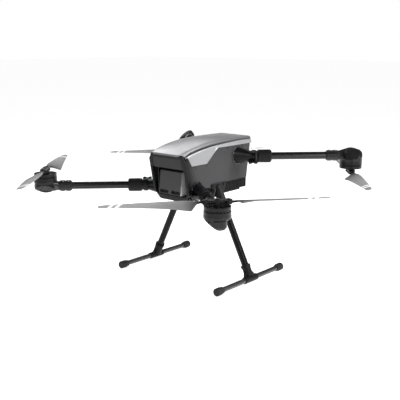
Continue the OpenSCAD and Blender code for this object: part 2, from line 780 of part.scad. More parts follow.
module motor_mount(cap_side) {
    split_w = 2.4;
    seat_h = 9;
    recess_r = mount_r - 12;
    color("black") {
        difference() {
            union() {
                translate([motor_radius, 0, mount_rise - seat_h]) cylinder(r = mount_r, h = seat_h);
                translate([motor_radius, 0, mount_rise - seat_h - 8])
                    cylinder(r1 = mount_r - 9, r2 = mount_r, h = 8);
                difference() {
                    mount_block(cap_side);
                    on_cap_plane(cap_side) translate([-100, -100, 0]) cube([200, 200, 100]);
                }
                along_x(clamp_r, clamp_x, clamp_x + clamp_l);
                for (s = [-1, 1]) translate([clamp_x + 4, -9, s > 0 ? clamp_r - 4 : -clamp_r - 1])
                    cube([clamp_l - 10, 18, 5]);
                translate([clamp_x, -clamp_r - 1.5, -7]) cube([clamp_l - 4, 2 * clamp_r + 3, 14]);
            }
            along_x(tube_r + slip_gap, clamp_x - 1, tube_x1 + 0.3);
            // the clamp's slit and its four screws
            translate([clamp_x - 1, -split_w / 2, tube_r - 4]) cube([clamp_l - 6, split_w, 16]);
            for (x = [clamp_x + 12, clamp_x + 34])
                translate([x, 0, clamp_r - 1.5]) rotate([90, 0, 0])
                    cylinder(r = 1.6, h = 30, center = true, $fn = 24);
            // flat seat, with a recess under the motor
            translate([motor_radius, 0, mount_rise]) cylinder(r = 1.5 * mount_r, h = mount_rise);
            translate([motor_radius, 0, mount_rise - 5]) cylinder(r = recess_r, h = 6);
        }
        on_cap_plane(cap_side) cooling_cap();
    }
}

// The block between the clamp and the motor: upright outer end, one sloping side for the cap
module mount_block(cap_side) {
    corner_r = 17;
    reach = 44;
    half = 28;
    low = -21;
    hull() {
        for (p = [[reach - corner_r, -1], [reach - corner_r, 1], [-20, -1]])
            translate([motor_radius + p[0], p[1] * cap_side * (half - corner_r), 0]) {
                translate([0, 0, -13]) cylinder(r = corner_r, h = mount_rise, $fn = 32);
                translate([0, 0, low]) cylinder(r = corner_r - 7, h = 1, $fn = 32);
            }
        on_cap_plane(cap_side) translate([0, 0, -1.2]) cylinder(r = cap_r + 3.5, h = 1, $fn = 48);
        along_x(clamp_r - 1, clamp_x + clamp_l - 4, clamp_x + clamp_l);
    }
}

// The tilted seat of the round cooling cap: z points out of the mount
module on_cap_plane(cap_side) {
    translate([motor_radius, cap_side * 15, -4]) rotate([cap_side * (cap_tilt - 180), 0, 0])
        children();
}

module cooling_cap() {
    fins = 24;
    fin_gap = 3;
    face_r = cap_r - 8;
    difference() {
        rotate_extrude() polygon([[0, -0.5], [cap_r, -0.5], [cap_r, 3.5], [face_r + 1, cap_h - 1],
                                  [face_r - 1, cap_h], [face_r - 4, cap_h], [face_r - 6, cap_h - 2],
                                  [0, cap_h - 2]]);
        for (k = [0:fins - 1])
            rotate([0, 0, k * 360 / fins])
                translate([face_r - 1, -fin_gap / 2, 1.5]) cube([12, fin_gap, cap_h]);
    }
}

module stator() {
    slots = 18;
    slot_w = 3;
    core_r = bell_r - 6;
    core_h = bell_slot + bell_h - 6;
    pocket_r = core_r - 12;
    bearing_r = 9;
    color("dimgray") translate([motor_radius, 0, mount_rise + 0.1]) difference() {
        union() {
            cylinder(r = bell_r + 0.5, h = foot_ring_h);
            difference() {
                translate([0, 0, foot_ring_h - 1]) cylinder(r = core_r, h = core_h + 1);
                translate([0, 0, foot_ring_h + core_h - 5]) cylinder(r = pocket_r, h = 10);
                for (k = [0:slots - 1])
                    rotate([0, 0, k * 360 / slots])
                        translate([core_r - 8, -slot_w / 2, foot_ring_h + 1])
                            cube([12, slot_w, core_h]);
            }
            translate([0, 0, foot_ring_h - 1]) cylinder(r = bearing_r, h = core_h + 2);
        }
        translate([0, 0, -1]) cylinder(r = shaft_r + running_gap, h = 60);
    }
}

module bell() {
    spokes = 8;
    rim_t = 3.2;
    plate_t = 3.4;
    color("black") translate([motor_radius, 0, bell_z]) difference() {
        union() {
            difference() {
                cylinder(r = bell_r, h = bell_h);
                translate([0, 0, -1]) cylinder(r = bell_r - rim_t, h = bell_h + 2);
            }
            translate([0, 0, bell_h - plate_t]) cylinder(r = 17, h = plate_t);
            for (k = [0:spokes - 1])
                rotate([0, 0, k * 360 / spokes]) translate([10, -3, bell_h - plate_t])
                    cube([bell_r - 12, 6, plate_t]);
            translate([0, 0, 1 - foot_ring_h]) cylinder(r = shaft_r, h = foot_ring_h + bell_h - 1);
        }
        // air slots round the rim's lower edge
        for (k = [0:23])
            rotate([0, 0, k * 15 + 7.5]) translate([bell_r - rim_t - 1, -3.6, 1.6])
                cube([rim_t + 2, 7.2, 2.4]);
    }
}

module prop_hub() {
    slot_z = bell_top + 0.1 + hub_base_h + hub_plate_t;
    color("black") translate([motor_radius, 0, 0]) rotate([0, 0, blade_rest_angle]) {
        difference() {
            union() {
                translate([0, 0, bell_top + 0.1]) cylinder(r = 15, h = hub_base_h);
                for (z = [slot_z - hub_plate_t, slot_z + hub_slot])
                    translate([0, 0, z]) {
                        translate([-blade_bolt_x, -hub_half_w, 0])
                            cube([2 * blade_bolt_x, 2 * hub_half_w, hub_plate_t]);
                        for (s = [-1, 1]) translate([s * blade_bolt_x, 0, 0])
                            cylinder(r = hub_half_w, h = hub_plate_t);
                    }
                translate([0, 0, slot_z - 1]) cylinder(r = 11, h = hub_slot + 2);
                translate([0, 0, slot_z + hub_slot + hub_plate_t - 1]) cylinder(r = 7, h = 4);
            }
            for (s = [-1, 1]) translate([s * (blade_bolt_x - 18), 0, slot_z + hub_slot])
                cylinder(r = 2.4, h = hub_plate_t + 1, $fn = 24);
        }
        for (s = [-1, 1]) translate([s * blade_bolt_x, 0, slot_z - 0.2]) {
            cylinder(r = blade_bolt_r, h = hub_slot + 0.4);
            translate([0, 0, hub_slot + hub_plate_t + 0.2]) cylinder(r = 5.5, h = 2.6);
        }
    }
}

// ---------------------------------------------------------------- blades

blade_reach = prop_d / 2 - blade_bolt_x;
blade_chord = [[0, 17], [0.05, 16], [0.09, 20], [0.13, 42], [0.165, 60], [0.22, 62], [0.35, 58],
               [0.5, 51], [0.65, 44], [0.8, 36], [0.92, 29], [0.975, 22], [1, 11]];
blade_lead = [[0, -8.5], [0.1, -10], [0.2, -17], [0.35, -19], [0.6, -17], [0.85, -13], [0.95, -9],
              [1, 0]];
blade_stations = [0.022, 0.05, 0.09, 0.13, 0.165, 0.22, 0.35, 0.5, 0.65, 0.8, 0.92, 0.975, 1];
foil_top = [[0, 0], [0.06, 0.45], [0.25, 0.95], [0.5, 1], [0.8, 0.55], [1, 0.08]];
foil_low = [[0.8, 0.08], [0.5, 0.1], [0.25, -0.1], [0.06, -0.3]];

function blade_pitch(s) = atan(prop_pitch / (2 * PI * (blade_bolt_x + s * blade_reach)))
    * min(1, max(0, (s - 0.04) / 0.12));
function blade_ring(s) =
    let (c = lookup(s, blade_chord), lead = lookup(s, blade_lead), th = blade_pitch(s),
         t = max(1.8, lookup(s, [[0, 5.4], [0.165, 5.4], [0.35, 4.6], [1, 1.8]])))
    [for (f = concat(foil_top, foil_low))
        let (y = lead + f[0] * c, z = (f[1] - 0.4) * t)
        [s * blade_reach, y * cos(th) + z * sin(th), z * cos(th) - y * sin(th)]];

// A blade in its own frame: bolt at the origin, tip along +x, upper face to +z
module blade() {
    difference() {
        union() {
            translate([0, 0, -blade_t / 2]) cylinder(r = hub_half_w - 1.5, h = blade_t);
            loft([for (s = blade_stations) blade_ring(s)]);
        }
        translate([0, 0, -blade_t]) cylinder(r = blade_bolt_r + running_gap, h = 2 * blade_t);
    }
}

module placed_blade(rear, which) {
    color([0.6, 0.6, 0.62]) translate([motor_radius, 0, prop_rise + 0.1])
        rotate([0, 0, blade_rest_angle + 180 * which])
            translate([blade_bolt_x, 0, 0]) mirror([0, 0, rear ? 1 : 0]) blade();
}

// ---------------------------------------------------------------- landing gear

// Children are given along a leg: origin at the leg's top on the side panel, z down the leg
module along_leg(right) {
    mirror([right ? 1 : 0, 0, 0])
        translate([body_half_w, leg_y, belly_height + leg_top_up])
            rotate([0, 180 - leg_lean, 0]) children();
}

socket_l = 62;
leg_r = leg_tube_d / 2;

module leg_brackets() {
    plate_t = 4;
    foot_up = [-34, 34];
    color("black") for (right = [false, true]) {
        difference() {
            union() {
                along_leg(right) translate([0, 0, -14]) cylinder(r = leg_r + 4.5, h = socket_l + 14);
                mirror([right ? 1 : 0, 0, 0]) lift() translate([body_half_w + 0.2, leg_y, 0])
                    rotate([90, 0, 90]) linear_extrude(plate_t)
                        polygon([[-44, tray_h + 3], [44, tray_h + 3], [44, tray_h - 15],
                                 [26, 4], [-26, 4], [-44, tray_h - 15]]);
            }
            // cut flush with the side panel, and open for the tube
            mirror([right ? 1 : 0, 0, 0]) translate([0, -body_half_w, belly_height - body_half_w])
                cube([body_half_w + 0.2, 2 * body_half_w, 3 * body_half_w]);
            along_leg(right) translate([0, 0, 12]) cylinder(r = leg_r + slip_gap, h = leg_len);
        }
        for (s = foot_up)
            mirror([right ? 1 : 0, 0, 0]) lift()
                translate([body_half_w + plate_t + 0.3, leg_y + s, tray_h - 6])
                    rotate([0, 90, 0]) cylinder(r = 4.5, h = 3, $fn = 24);
    }
}

module leg_tubes() {
    wall = 1.5;
    color([0.12, 0.12, 0.13]) for (right = [false, true]) along_leg(right) difference() {
        translate([0, 0, 12.3]) cylinder(r = leg_r, h = leg_len - 12.3 - skid_tube_d / 2 - 4.6);
        translate([0, 0, 11]) cylinder(r = leg_r - wall, h = leg_len);
    }
}

joint_sleeve_r = skid_tube_d / 2 + 3.2;

module skid_joints() {
    sleeve_half = 38;
    socket_h = 58;
    clamp_h = 12;
    color("black") for (right = [false, true]) difference() {
        union() {
            along_leg(right) translate([0, 0, leg_len - socket_h])
                cylinder(r = leg_r + 3.5, h = socket_h - 8);
            // split clamp ring with an ear each way
            along_leg(right) translate([0, 0, leg_len - socket_h]) {
                cylinder(r = leg_r + 5.5, h = clamp_h);
                translate([-4.5, -leg_r - 11, 0]) cube([9, 2 * leg_r + 22, clamp_h]);
            }
            mirror([right ? 1 : 0, 0, 0]) translate([skid_reach, leg_y - sleeve_half, skid_z])
                rotate([-90, 0, 0]) cylinder(r = joint_sleeve_r, h = 2 * sleeve_half);
            // gussets either side of the socket
            mirror([right ? 1 : 0, 0, 0]) translate([skid_reach, leg_y, skid_z])
                rotate([0, -leg_lean, 0]) rotate([90, 0, 90]) translate([0, 0, -3])
                    linear_extrude(6) polygon([[-36, 8], [36, 8], [leg_r + 2, 40], [-leg_r - 2, 40]]);
        }
        along_leg(right) translate([0, 0, leg_len - socket_h - 1])
            cylinder(r = leg_r + slip_gap, h = socket_h + 1 - skid_tube_d / 2 - 4.3);
        mirror([right ? 1 : 0, 0, 0]) translate([skid_reach, leg_y - sleeve_half - 1, skid_z])
            rotate([-90, 0, 0]) cylinder(r = skid_tube_d / 2 + slip_gap, h = 2 * sleeve_half + 2);
    }
}

module skid_tubes() {
    wall = 1.5;
    half = skid_l / 2 - 4;
    color([0.2, 0.2, 0.21]) for (s = [-1, 1]) translate([s * skid_reach, leg_y - half, skid_z])
        rotate([-90, 0, 0]) difference() {
            cylinder(r = skid_tube_d / 2, h = 2 * half);
            translate([0, 0, -1]) cylinder(r = skid_tube_d / 2 - wall, h = 2 * half + 2);
        }
}

module skid_caps() {
    cap_l = 38;
    end_r = 4;
    bore_r = skid_tube_d / 2 + slip_gap;
    color([0.1, 0.1, 0.1]) for (s = [-1, 1]) for (e = [-1, 1])
        translate([s * skid_reach, leg_y + e * skid_l / 2, skid_z]) rotate([e * 90, 0, 0])
            rotate_extrude() polygon(concat(
                [[0, 0]],
                [for (a = [-90:22.5:0]) [cap_r_skid - end_r + end_r * cos(a), end_r + end_r * sin(a)]],
                [[cap_r_skid, cap_l - 12], [cap_r_skid - 2, cap_l - 9],
                 [cap_r_skid - 2.5, cap_l], [bore_r, cap_l], [bore_r, 4], [0, 4]]));
}

// ---------------------------------------------------------------- fasteners

module body_screws() {
    // cover screws on each side, [y, up]
    spots = [[-nose_reach + 140, edge_low - 7], [65, edge_high - 7], [165, edge_high - 7],
             [-130, edge_low - 8]];
    color("silver") lift() for (s = [-1, 1]) for (p = spots)
        translate([s * (body_half_w + 0.1), p[0], p[1]]) rotate([0, s * 90, 0])
            cylinder(r = 3, h = 1.4, $fn = 24);
}

// ---------------------------------------------------------------- nodes

module fuselage_node(name) {
    if (name == "top_cover") top_cover();
    if (name == "left_side_panel") left_side_panel();
    if (name == "right_side_panel") right_side_panel();
    if (name == "rear_panel") rear_panel();
    if (name == "nose_bezel") nose_bezel();
    if (name == "nose_visor") nose_visor();
    if (name == "bay_liner") bay_liner();
    if (name == "belly_tray") belly_tray();
    if (name == "cooling_grille") cooling_grille();
    if (name == "side_frames") side_frames();
    if (name == "frame_decks") frame_decks();
    if (name == "avionics_stack") avionics_stack();
    if (name == "gps_module") gps_module();
    if (name == "front_arm_roots") front_arm_roots();
    if (name == "rear_arm_roots") rear_arm_roots();
    if (name == "hinge_pins") hinge_pins();
    if (name == "leg_brackets") leg_brackets();
    if (name == "leg_tubes") leg_tubes();
    if (name == "skid_joints") skid_joints();
    if (name == "skid_tubes") skid_tubes();
    if (name == "skid_caps") skid_caps();
    if (name == "body_screws") body_screws();
    if (name == "battery_pack") battery_pack();
    if (name == "battery_handle") battery_handle();
}

module arm_piece(piece, rear) {
    if (piece == "knuckle") knuckle();
    if (piece == "tube") arm_tube();
    if (piece == "lock_sleeve") lock_sleeve();
    if (piece == "motor_mount") motor_mount(rear ? 1 : -1);
    if (piece == "stator") stator();
    if (piece == "bell") bell();
    if (piece == "prop_hub") prop_hub();
    if (piece == "blade_a") placed_blade(rear, 0);
    if (piece == "blade_b") placed_blade(rear, 1);
}

for (name = NODES) fuselage_node(name);
for (i = [0:3]) for (piece = arm_pieces)
    at_arm(i > 1, i % 2 == 1) arm_piece(piece, i > 1);
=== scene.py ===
"""Looks of the folding quadcopter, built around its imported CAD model.

Metres, +Z up, the nose towards -Y, the craft's own left side at +X.
An arm's own frame has x outwards along the arm, z towards its motor and y to its fold side.
"""
import json
import math

import bmesh
import bpy
import numpy as np
from mathutils import Matrix, Vector

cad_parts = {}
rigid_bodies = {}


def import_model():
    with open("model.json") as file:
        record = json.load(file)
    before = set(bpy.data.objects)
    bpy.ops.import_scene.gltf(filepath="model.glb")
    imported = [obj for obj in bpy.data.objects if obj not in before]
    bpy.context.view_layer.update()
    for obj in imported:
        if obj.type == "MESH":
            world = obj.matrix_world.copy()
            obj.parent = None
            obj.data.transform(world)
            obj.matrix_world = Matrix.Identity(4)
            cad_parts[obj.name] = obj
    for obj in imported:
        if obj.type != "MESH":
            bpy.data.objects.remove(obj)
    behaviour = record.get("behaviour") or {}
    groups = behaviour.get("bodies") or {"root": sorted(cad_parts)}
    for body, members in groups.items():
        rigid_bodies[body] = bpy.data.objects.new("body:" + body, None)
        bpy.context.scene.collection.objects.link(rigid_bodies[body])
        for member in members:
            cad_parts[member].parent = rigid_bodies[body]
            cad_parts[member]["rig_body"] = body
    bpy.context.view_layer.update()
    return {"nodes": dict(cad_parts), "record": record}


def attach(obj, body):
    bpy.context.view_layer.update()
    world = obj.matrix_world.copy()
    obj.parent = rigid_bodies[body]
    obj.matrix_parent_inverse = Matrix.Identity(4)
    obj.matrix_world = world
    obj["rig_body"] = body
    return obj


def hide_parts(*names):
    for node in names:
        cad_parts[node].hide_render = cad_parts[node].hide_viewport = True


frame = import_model()
nodes = frame["nodes"]

MM = 0.001
ARMS = ("front_left", "front_right", "rear_left", "rear_right")

# ---------- sizes shared with the CAD, mm
BELLY = 322.0
MOTOR_R = 620.0
ARM_ANGLE = 44.2
ARM_UP = {"front": 43.0, "rear": 155.0}
HALF_W = 91.0
NOSE_REACH = 204.0
TAIL_REACH = 229.0
NOSE_H = 192.0
SPINE_H = 227.0
NOSE_TAN = 37.0 / NOSE_H
TAIL_TAN = 32.0 / 200.0
CROWN = 7.0
SHELL_T = 2.5
SHOULDER_MID_Y = 57.0
CREASE_DROP = 11.5
EDGE_HIGH = 198.0
EDGE_LOW = 144.0
NOSE_KINK = -NOSE_REACH + 9.0
FLANK_KINK = -NOSE_REACH + 41.0
BELLY_KINK = -NOSE_REACH + 132.0
SPINE_KINK = 2.0
CORNER_SET, CORNER_START = 18.0, 70.0
SEAM = 0.4
BEZEL_DEPTH = 13.0
NOSE_LEN = math.hypot(NOSE_H, 37.0)
BAY_FLOOR, LINER_T = 28.0, 1.6
WINDOW_HALF = 82.0
VISOR_LOW, VISOR_HIGH = 135.0, NOSE_LEN - 18.0


# ---------- materials

EDGE_RADIUS = 0.0006        # how far worn edges reach, m
GRAIN_DEPTH = 0.0002        # m
TOW = 0.0022                # width of one tow of the carbon weave, m
PANEL_GREY = (0.064, 0.064, 0.066)


class Nodes:
    """A small builder for the node tree of a new material, or of the world."""

    def __init__(self, name, world=False):
        self.block = (bpy.data.worlds if world else bpy.data.materials).new(name)
        self.block.use_nodes = True
        self.tree = self.block.node_tree
        self.shader = self.tree.nodes["Background" if world else "Principled BSDF"]
        self.out = self.tree.nodes["World Output" if world else "Material Output"]
        self.coords = self.add("ShaderNodeTexCoord").outputs["Generated" if world else "Object"]

    def add(self, kind, **settings):
        node = self.tree.nodes.new(kind)
        for key, value in settings.items():
            setattr(node, key, value)
        return node

    def link(self, a, b):
        self.tree.links.new(a, b)

    def feed(self, socket, value):
        if hasattr(value, "is_output"):
            self.link(value, socket)
        else:
            socket.default_value = value

    def noise(self, scale, detail=3.0, rough=0.55):
        node = self.add("ShaderNodeTexNoise")
        node.inputs["Scale"].default_value = scale
        node.inputs["Detail"].default_value = detail
        node.inputs["Roughness"].default_value = rough
        self.link(self.coords, node.inputs["Vector"])
        return node.outputs["Fac"]

    def span(self, value, a0, a1, b0, b1):
        """value from a0..a1 brought to b0..b1, held at the ends."""
        node = self.add("ShaderNodeMapRange")
        self.link(value, node.inputs["Value"])
        for key, number in zip(("From Min", "From Max", "To Min", "To Max"), (a0, a1, b0, b1)):
            node.inputs[key].default_value = number
        return node.outputs["Result"]

    def math(self, operation, a, b=0.0):
        node = self.add("ShaderNodeMath", operation=operation)
        self.feed(node.inputs[0], a)
        self.feed(node.inputs[1], b)
        return node.outputs[0]

    def mix(self, fac, a, b):
        node = self.add("ShaderNodeMix", data_type="RGBA")
        self.feed(node.inputs["Factor"], fac)
        self.feed(node.inputs["A"], a)
        self.feed(node.inputs["B"], b)
        return node.outputs["Result"]

    def bump(self, height, strength, distance, normal=None):
        node = self.add("ShaderNodeBump")
        node.inputs["Strength"].default_value = strength
        node.inputs["Distance"].default_value = distance
        self.link(height, node.inputs["Height"])
        if normal is not None:
            self.link(normal, node.inputs["Normal"])
        return node.outputs["Normal"]

    def attribute(self, name):
        return self.add("ShaderNodeAttribute", attribute_name=name).outputs["Fac"]

    def facing(self, kind="Normal"):
        return self.add("ShaderNodeNewGeometry").outputs[kind]

    def axis(self, letter, vector=None):
        """One coordinate of a vector, which is the surface's own place if none is given."""
        split = self.add("ShaderNodeSeparateXYZ")
        self.link(vector or self.coords, split.inputs[0])
        return split.outputs[letter]


def rgb(value):
    if isinstance(value, (int, float)):
        value = (value, value, value)
    return (*value, 1.0)


def surface(name, color, rough, metal=0.0, grain=1400.0, grain_bump=0.12, mottle=0.10,
            rough_var=0.06, wear=0.25, specular=0.5, tint=None, paint=None):
    """A moulded, painted or machined finish: fine grain, faint mottling, and worn, rounded edges.

    tint is the grey that shows where an edge is worn. paint(n, base) may lay further colours
    over the base.
    """
    n = Nodes(name)
    s = n.shader.inputs
    s["Metallic"].default_value = metal
    s["Specular IOR Level"].default_value = specular
    big = n.noise(9.0, 4.0, 0.6)
    fine = n.noise(grain, 2.0, 0.5)
    low = rgb([c * (1 - mottle) for c in color])
    high = rgb([min(1.0, c * (1 + mottle)) for c in color])
    base = n.mix(n.span(big, 0.35, 0.65, 0.0, 1.0), low, high)
    if paint:
        base = paint(n, base)
    bevel = n.add("ShaderNodeBevel", samples=4)
    bevel.inputs["Radius"].default_value = EDGE_RADIUS
    dot = n.add("ShaderNodeVectorMath", operation="DOT_PRODUCT")
    n.link(bevel.outputs["Normal"], dot.inputs[0])
    n.link(n.facing(), dot.inputs[1])
    edges = n.span(dot.outputs["Value"], 0.72, 0.97, 1.0, 0.0)
    scuffs = n.span(n.noise(160.0, 3.0, 0.7), 0.45, 0.62, 0.0, wear)
    worn = rgb(tint) if tint else rgb([min(1.0, c * 1.9 + 0.05) for c in color])
    base = n.mix(n.math("MULTIPLY", edges, scuffs), base, worn)
    n.link(base, s["Base Color"])
    n.link(n.span(n.noise(38.0, 4.0, 0.6), 0.3, 0.7, rough - rough_var, rough + rough_var),
           s["Roughness"])
    n.link(n.bump(fine, grain_bump, GRAIN_DEPTH, bevel.outputs["Normal"]), s["Normal"])
    return n.block


def nose_depth(n):
    """Distance in metres behind the raked plane of the nose."""
    rake = n.math("MULTIPLY", n.axis("Z"), NOSE_TAN)
    start = (NOSE_REACH - (NOSE_H + BELLY) * NOSE_TAN) * MM
    return n.math("ADD", n.math("ADD", n.axis("Y"), rake), start)


def silver_paint_and_shade(n, base):
    """Painted shade on the silver: upward-facing surfaces darker towards the tail, a dark crease
    that lightens to the tail, and a darker turned-down front lip.
    """
    # painted shade: upward-facing surfaces darken towards the back
    back = n.math("MULTIPLY", n.span(nose_depth(n), 0.06, 0.26, 0.0, 1.0),
                  n.span(n.axis("Z", n.facing()), 0.6, 0.95, 0.0, 1.0))
    base = n.mix(back, base, rgb((0.24, 0.24, 0.247)))
    # painted shade in the crease, darkest near the nose
    line = n.mix(n.span(nose_depth(n), 0.0, 0.43, 0.0, 1.0), rgb(0.02), rgb(0.10))
    base = n.mix(n.attribute("groove"), base, line)
    # painted shade on the turned-down front lip
    return n.mix(n.math("MULTIPLY", n.attribute("lip"), 0.75), base, rgb(0.10))


def panel_painted_shade(n, base):
    """Painted shade: the panels darken where they run into the black nose."""
    return n.mix(n.span(nose_depth(n), 0.012, 0.062, 1.0, 0.0), base, rgb(0.005))


def bezel_paint(n, base):
    """Its mottled black in front turns to an even, barely darker black along its sides."""
    return n.mix(n.span(nose_depth(n), 0.008, 0.016, 0.0, 1.0), base, rgb(0.007))


def flange_paint(n, base):
    """The rear flanges wear the side panels' colour."""
    near = n.span(n.math("ABSOLUTE", n.axis("X")), 0.0944, 0.0952, 1.0, 0.0)
    return n.mix(near, base, rgb(PANEL_GREY))


def battery_tone_and_painted_light(n, base):
    """Lighter outer sides on the dark battery: partly the case's own lighter tone, and partly
    painted light, brightened for sides that lie in shade inside the bay.
    """
    sideways = n.math("ABSOLUTE", n.axis("X", n.facing("True Normal")))
    outer = n.span(n.math("ABSOLUTE", n.axis("X")), 0.053, 0.056, 0.0, 1.0)
    side = n.math("MULTIPLY", n.span(sideways, 0.8, 0.95, 0.0, 1.0), outer)
    # light grey sides: own tone plus painted light
    return n.mix(side, base, rgb((0.72, 0.72, 0.725)))


def blade_material():
    """Silver-grey composite: black root, two slanting white marks by the tip, and painted shade
    that darkens it towards the root and on its underside.
    """
    n = Nodes("blade_paint")
    s = n.shader.inputs
    s["Specular IOR Level"].default_value = 0.25
    along, across = n.attribute("along"), n.attribute("across")
    lean = n.math("ADD", along, n.math("MULTIPLY", across, -0.0016))
    fibres = n.noise(60.0, 4.0, 0.7)
    grey = n.mix(n.span(fibres, 0.3, 0.7, 0.0, 1.0), rgb((0.27, 0.27, 0.275)),
                 rgb((0.31, 0.31, 0.315)))
    color = n.mix(n.span(along, 0.86, 0.99, 0.0, 0.55), grey, rgb((0.16, 0.16, 0.165)))
    # painted shade: darker from mid-blade towards the root
    color = n.mix(n.span(along, 0.20, 0.60, 0.6, 0.0), color, rgb(0.07))
    # painted shade on the downward-facing underside
    color = n.mix(n.span(n.axis("Z", n.facing()), -0.5, 0.1, 1.0, 0.0), color, rgb(0.05))
    color = n.mix(n.span(along, 0.15, 0.30, 1.0, 0.0), color, rgb(0.012))
    for start, end in ((0.80, 0.835), (0.86, 0.895)):
        mark = n.math("MULTIPLY", n.span(lean, start, start + 0.003, 0.0, 1.0),
                      n.span(lean, end, end + 0.003, 1.0, 0.0))
        color = n.mix(mark, color, rgb(0.86))
    n.link(color, s["Base Color"])
    n.link(n.span(n.noise(45.0, 3.0), 0.3, 0.7, 0.40, 0.50), s["Roughness"])
    n.link(n.bump(n.noise(1500.0, 2.0), 0.08, GRAIN_DEPTH), s["Normal"])
    return n.block


def tube_material(name, gloss, low, high):
    """Twill weave drawn from each tube's own length and girth, between two greys."""
    n = Nodes(name)
    s = n.shader.inputs
    s["Specular IOR Level"].default_value = gloss
    u, v = n.attribute("girth"), n.attribute("length")
    u, v = (n.math("MULTIPLY", place, 1.0 / TOW) for place in (u, v))
    step = n.math("ADD", n.math("FLOOR", u), n.math("FLOOR", v))
    over = n.math("LESS_THAN", n.math("FLOORED_MODULO", step, 4.0), 2.0)
    height_u, height_v = n.math("PINGPONG", u, 0.5), n.math("PINGPONG", v, 0.5)
    height = n.math("ADD", n.math("MULTIPLY", over, height_u),
                    n.math("MULTIPLY", n.math("SUBTRACT", 1.0, over), height_v))
    n.link(n.mix(over, rgb(low), rgb(high)), s["Base Color"])
    n.link(n.span(n.noise(30.0, 3.0), 0.3, 0.7, 0.20, 0.26), s["Roughness"])
    n.link(n.bump(height, 0.10, 0.0003), s["Normal"])
    return n.block


M = {
    "silver_shell": surface("silver_paint_and_shade", (0.40, 0.40, 0.415), 0.34, 0.32, grain=2600.0,
                            grain_bump=0.04, mottle=0.015, rough_var=0.03, wear=0.0, specular=0.3,
                            paint=silver_paint_and_shade),
    "grey_shell": surface("grey_moulding", PANEL_GREY, 0.52, 0.0, mottle=0.03, grain_bump=0.08,
                          rough_var=0.03, wear=0.15, specular=0.15, paint=panel_painted_shade),
    "black_shell": surface("black_moulding", (0.008, 0.008, 0.009), 0.44, mottle=0.05,
                           wear=0.12, specular=0.15),
    "bezel": surface("bezel_moulding", (0.008, 0.008, 0.009), 0.40, mottle=0.03, grain_bump=0.06,
                     wear=0.08, specular=0.2, paint=bezel_paint),
    "visor": surface("visor_plastic", (0.015, 0.015, 0.016), 0.34, grain_bump=0.03, mottle=0.02,
                     wear=0.05, specular=0.3),
    "black_metal": surface("black_anodised", (0.006, 0.006, 0.007), 0.34, 0.2, grain=2200.0,
                           mottle=0.05, wear=0.2, tint=0.16, specular=0.25),
    "root_metal": surface("root_anodised", (0.007, 0.007, 0.008), 0.34, 0.2, grain=2200.0,
                          mottle=0.05, wear=0.15, tint=0.16, specular=0.25, paint=flange_paint),
    "black_nylon": surface("black_nylon", (0.006, 0.006, 0.007), 0.40, grain=900.0,
                           grain_bump=0.2, wear=0.15, specular=0.2),
    "mount": surface("mount_casting", (0.014, 0.014, 0.015), 0.27, 0.3, grain=1600.0,
                     grain_bump=0.05, mottle=0.08, wear=0.35, tint=0.22, specular=0.4),
    "steel": surface("screw_steel", (0.30, 0.30, 0.31), 0.34, 0.9, grain=1800.0, wear=0.1),
    "pin": surface("blackened_pin", (0.03, 0.03, 0.031), 0.38, 0.6, grain=1800.0, wear=0.2,
                   tint=0.2),
    "bell": surface("bell_anodised", (0.014, 0.014, 0.015), 0.30, 0.4, grain=2200.0,
                    grain_bump=0.05, wear=0.3, tint=0.3, specular=0.3),
    "stator": surface("motor_base", (0.012, 0.012, 0.013), 0.30, 0.2, wear=0.3, tint=0.2,
                      specular=0.25),
    "rubber": surface("rubber", (0.014, 0.014, 0.014), 0.62, grain=700.0, grain_bump=0.35,
                      wear=0.3, tint=0.05, specular=0.35),
    "frame_metal": surface("clear_anodised", (0.34, 0.35, 0.36), 0.38, 0.9, wear=0.3),
    "circuit": surface("circuit_board", (0.02, 0.10, 0.07), 0.45, wear=0.1),
    "gps": surface("aerial_housing", (0.55, 0.55, 0.54), 0.45, wear=0.1),
    "battery": surface("battery_case", (0.055, 0.055, 0.057), 0.50, grain=1000.0, mottle=0.04,
                       wear=0.1, specular=0.35, paint=battery_tone_and_painted_light),
    "copper": surface("copper_wire", (0.14, 0.06, 0.03), 0.30, 0.9, grain=600.0, grain_bump=0.4,
                      wear=0.1),
    "blade": blade_material(),
    "carbon": tube_material("arm_twill", 0.42, 0.004, 0.007),
    "leg_carbon": tube_material("leg_twill", 0.16, 0.004, 0.007),
    "skid_carbon": tube_material("skid_twill", 0.8, 0.030, 0.036),
}

slot_of = {p["node"]: p["material_slot"] for p in frame["record"]["subparts"]}
look_of = {**slot_of, "hinge_pins": "pin", "body_screws": "pin"}


def dress(obj, material):
    """Gives an object one material alone."""
    obj.data.materials.clear()
    obj.data.materials.append(material)


def new_object(name, data):
    obj = bpy.data.objects.new(name, data)
    bpy.context.scene.collection.objects.link(obj)
    return obj


for name, obj in nodes.items():
    dress(obj, M[look_of[name]])

# ---------- mesh helpers, working in mm


def arm_matrix(arm):
    """From an arm's own frame, in mm, to the world."""
    rear, right = arm.startswith("rear"), arm.endswith("right")
    turn = math.radians(ARM_ANGLE if rear else -ARM_ANGLE)
    m = Matrix.Translation((0, 0, BELLY + ARM_UP["rear" if rear else "front"]))
    m = m @ Matrix.Rotation(turn, 4, "Z")
    if rear:
        m = m @ Matrix.Rotation(math.pi, 4, "X")
    if right:
        m = Matrix.Scale(-1, 4, (1, 0, 0)) @ m
    return m


LIFT = Matrix.Translation((0, 0, BELLY))


def circle(radius, z, count):
    return [(radius * math.cos(2 * math.pi * i / count),
             radius * math.sin(2 * math.pi * i / count), z) for i in range(count)]


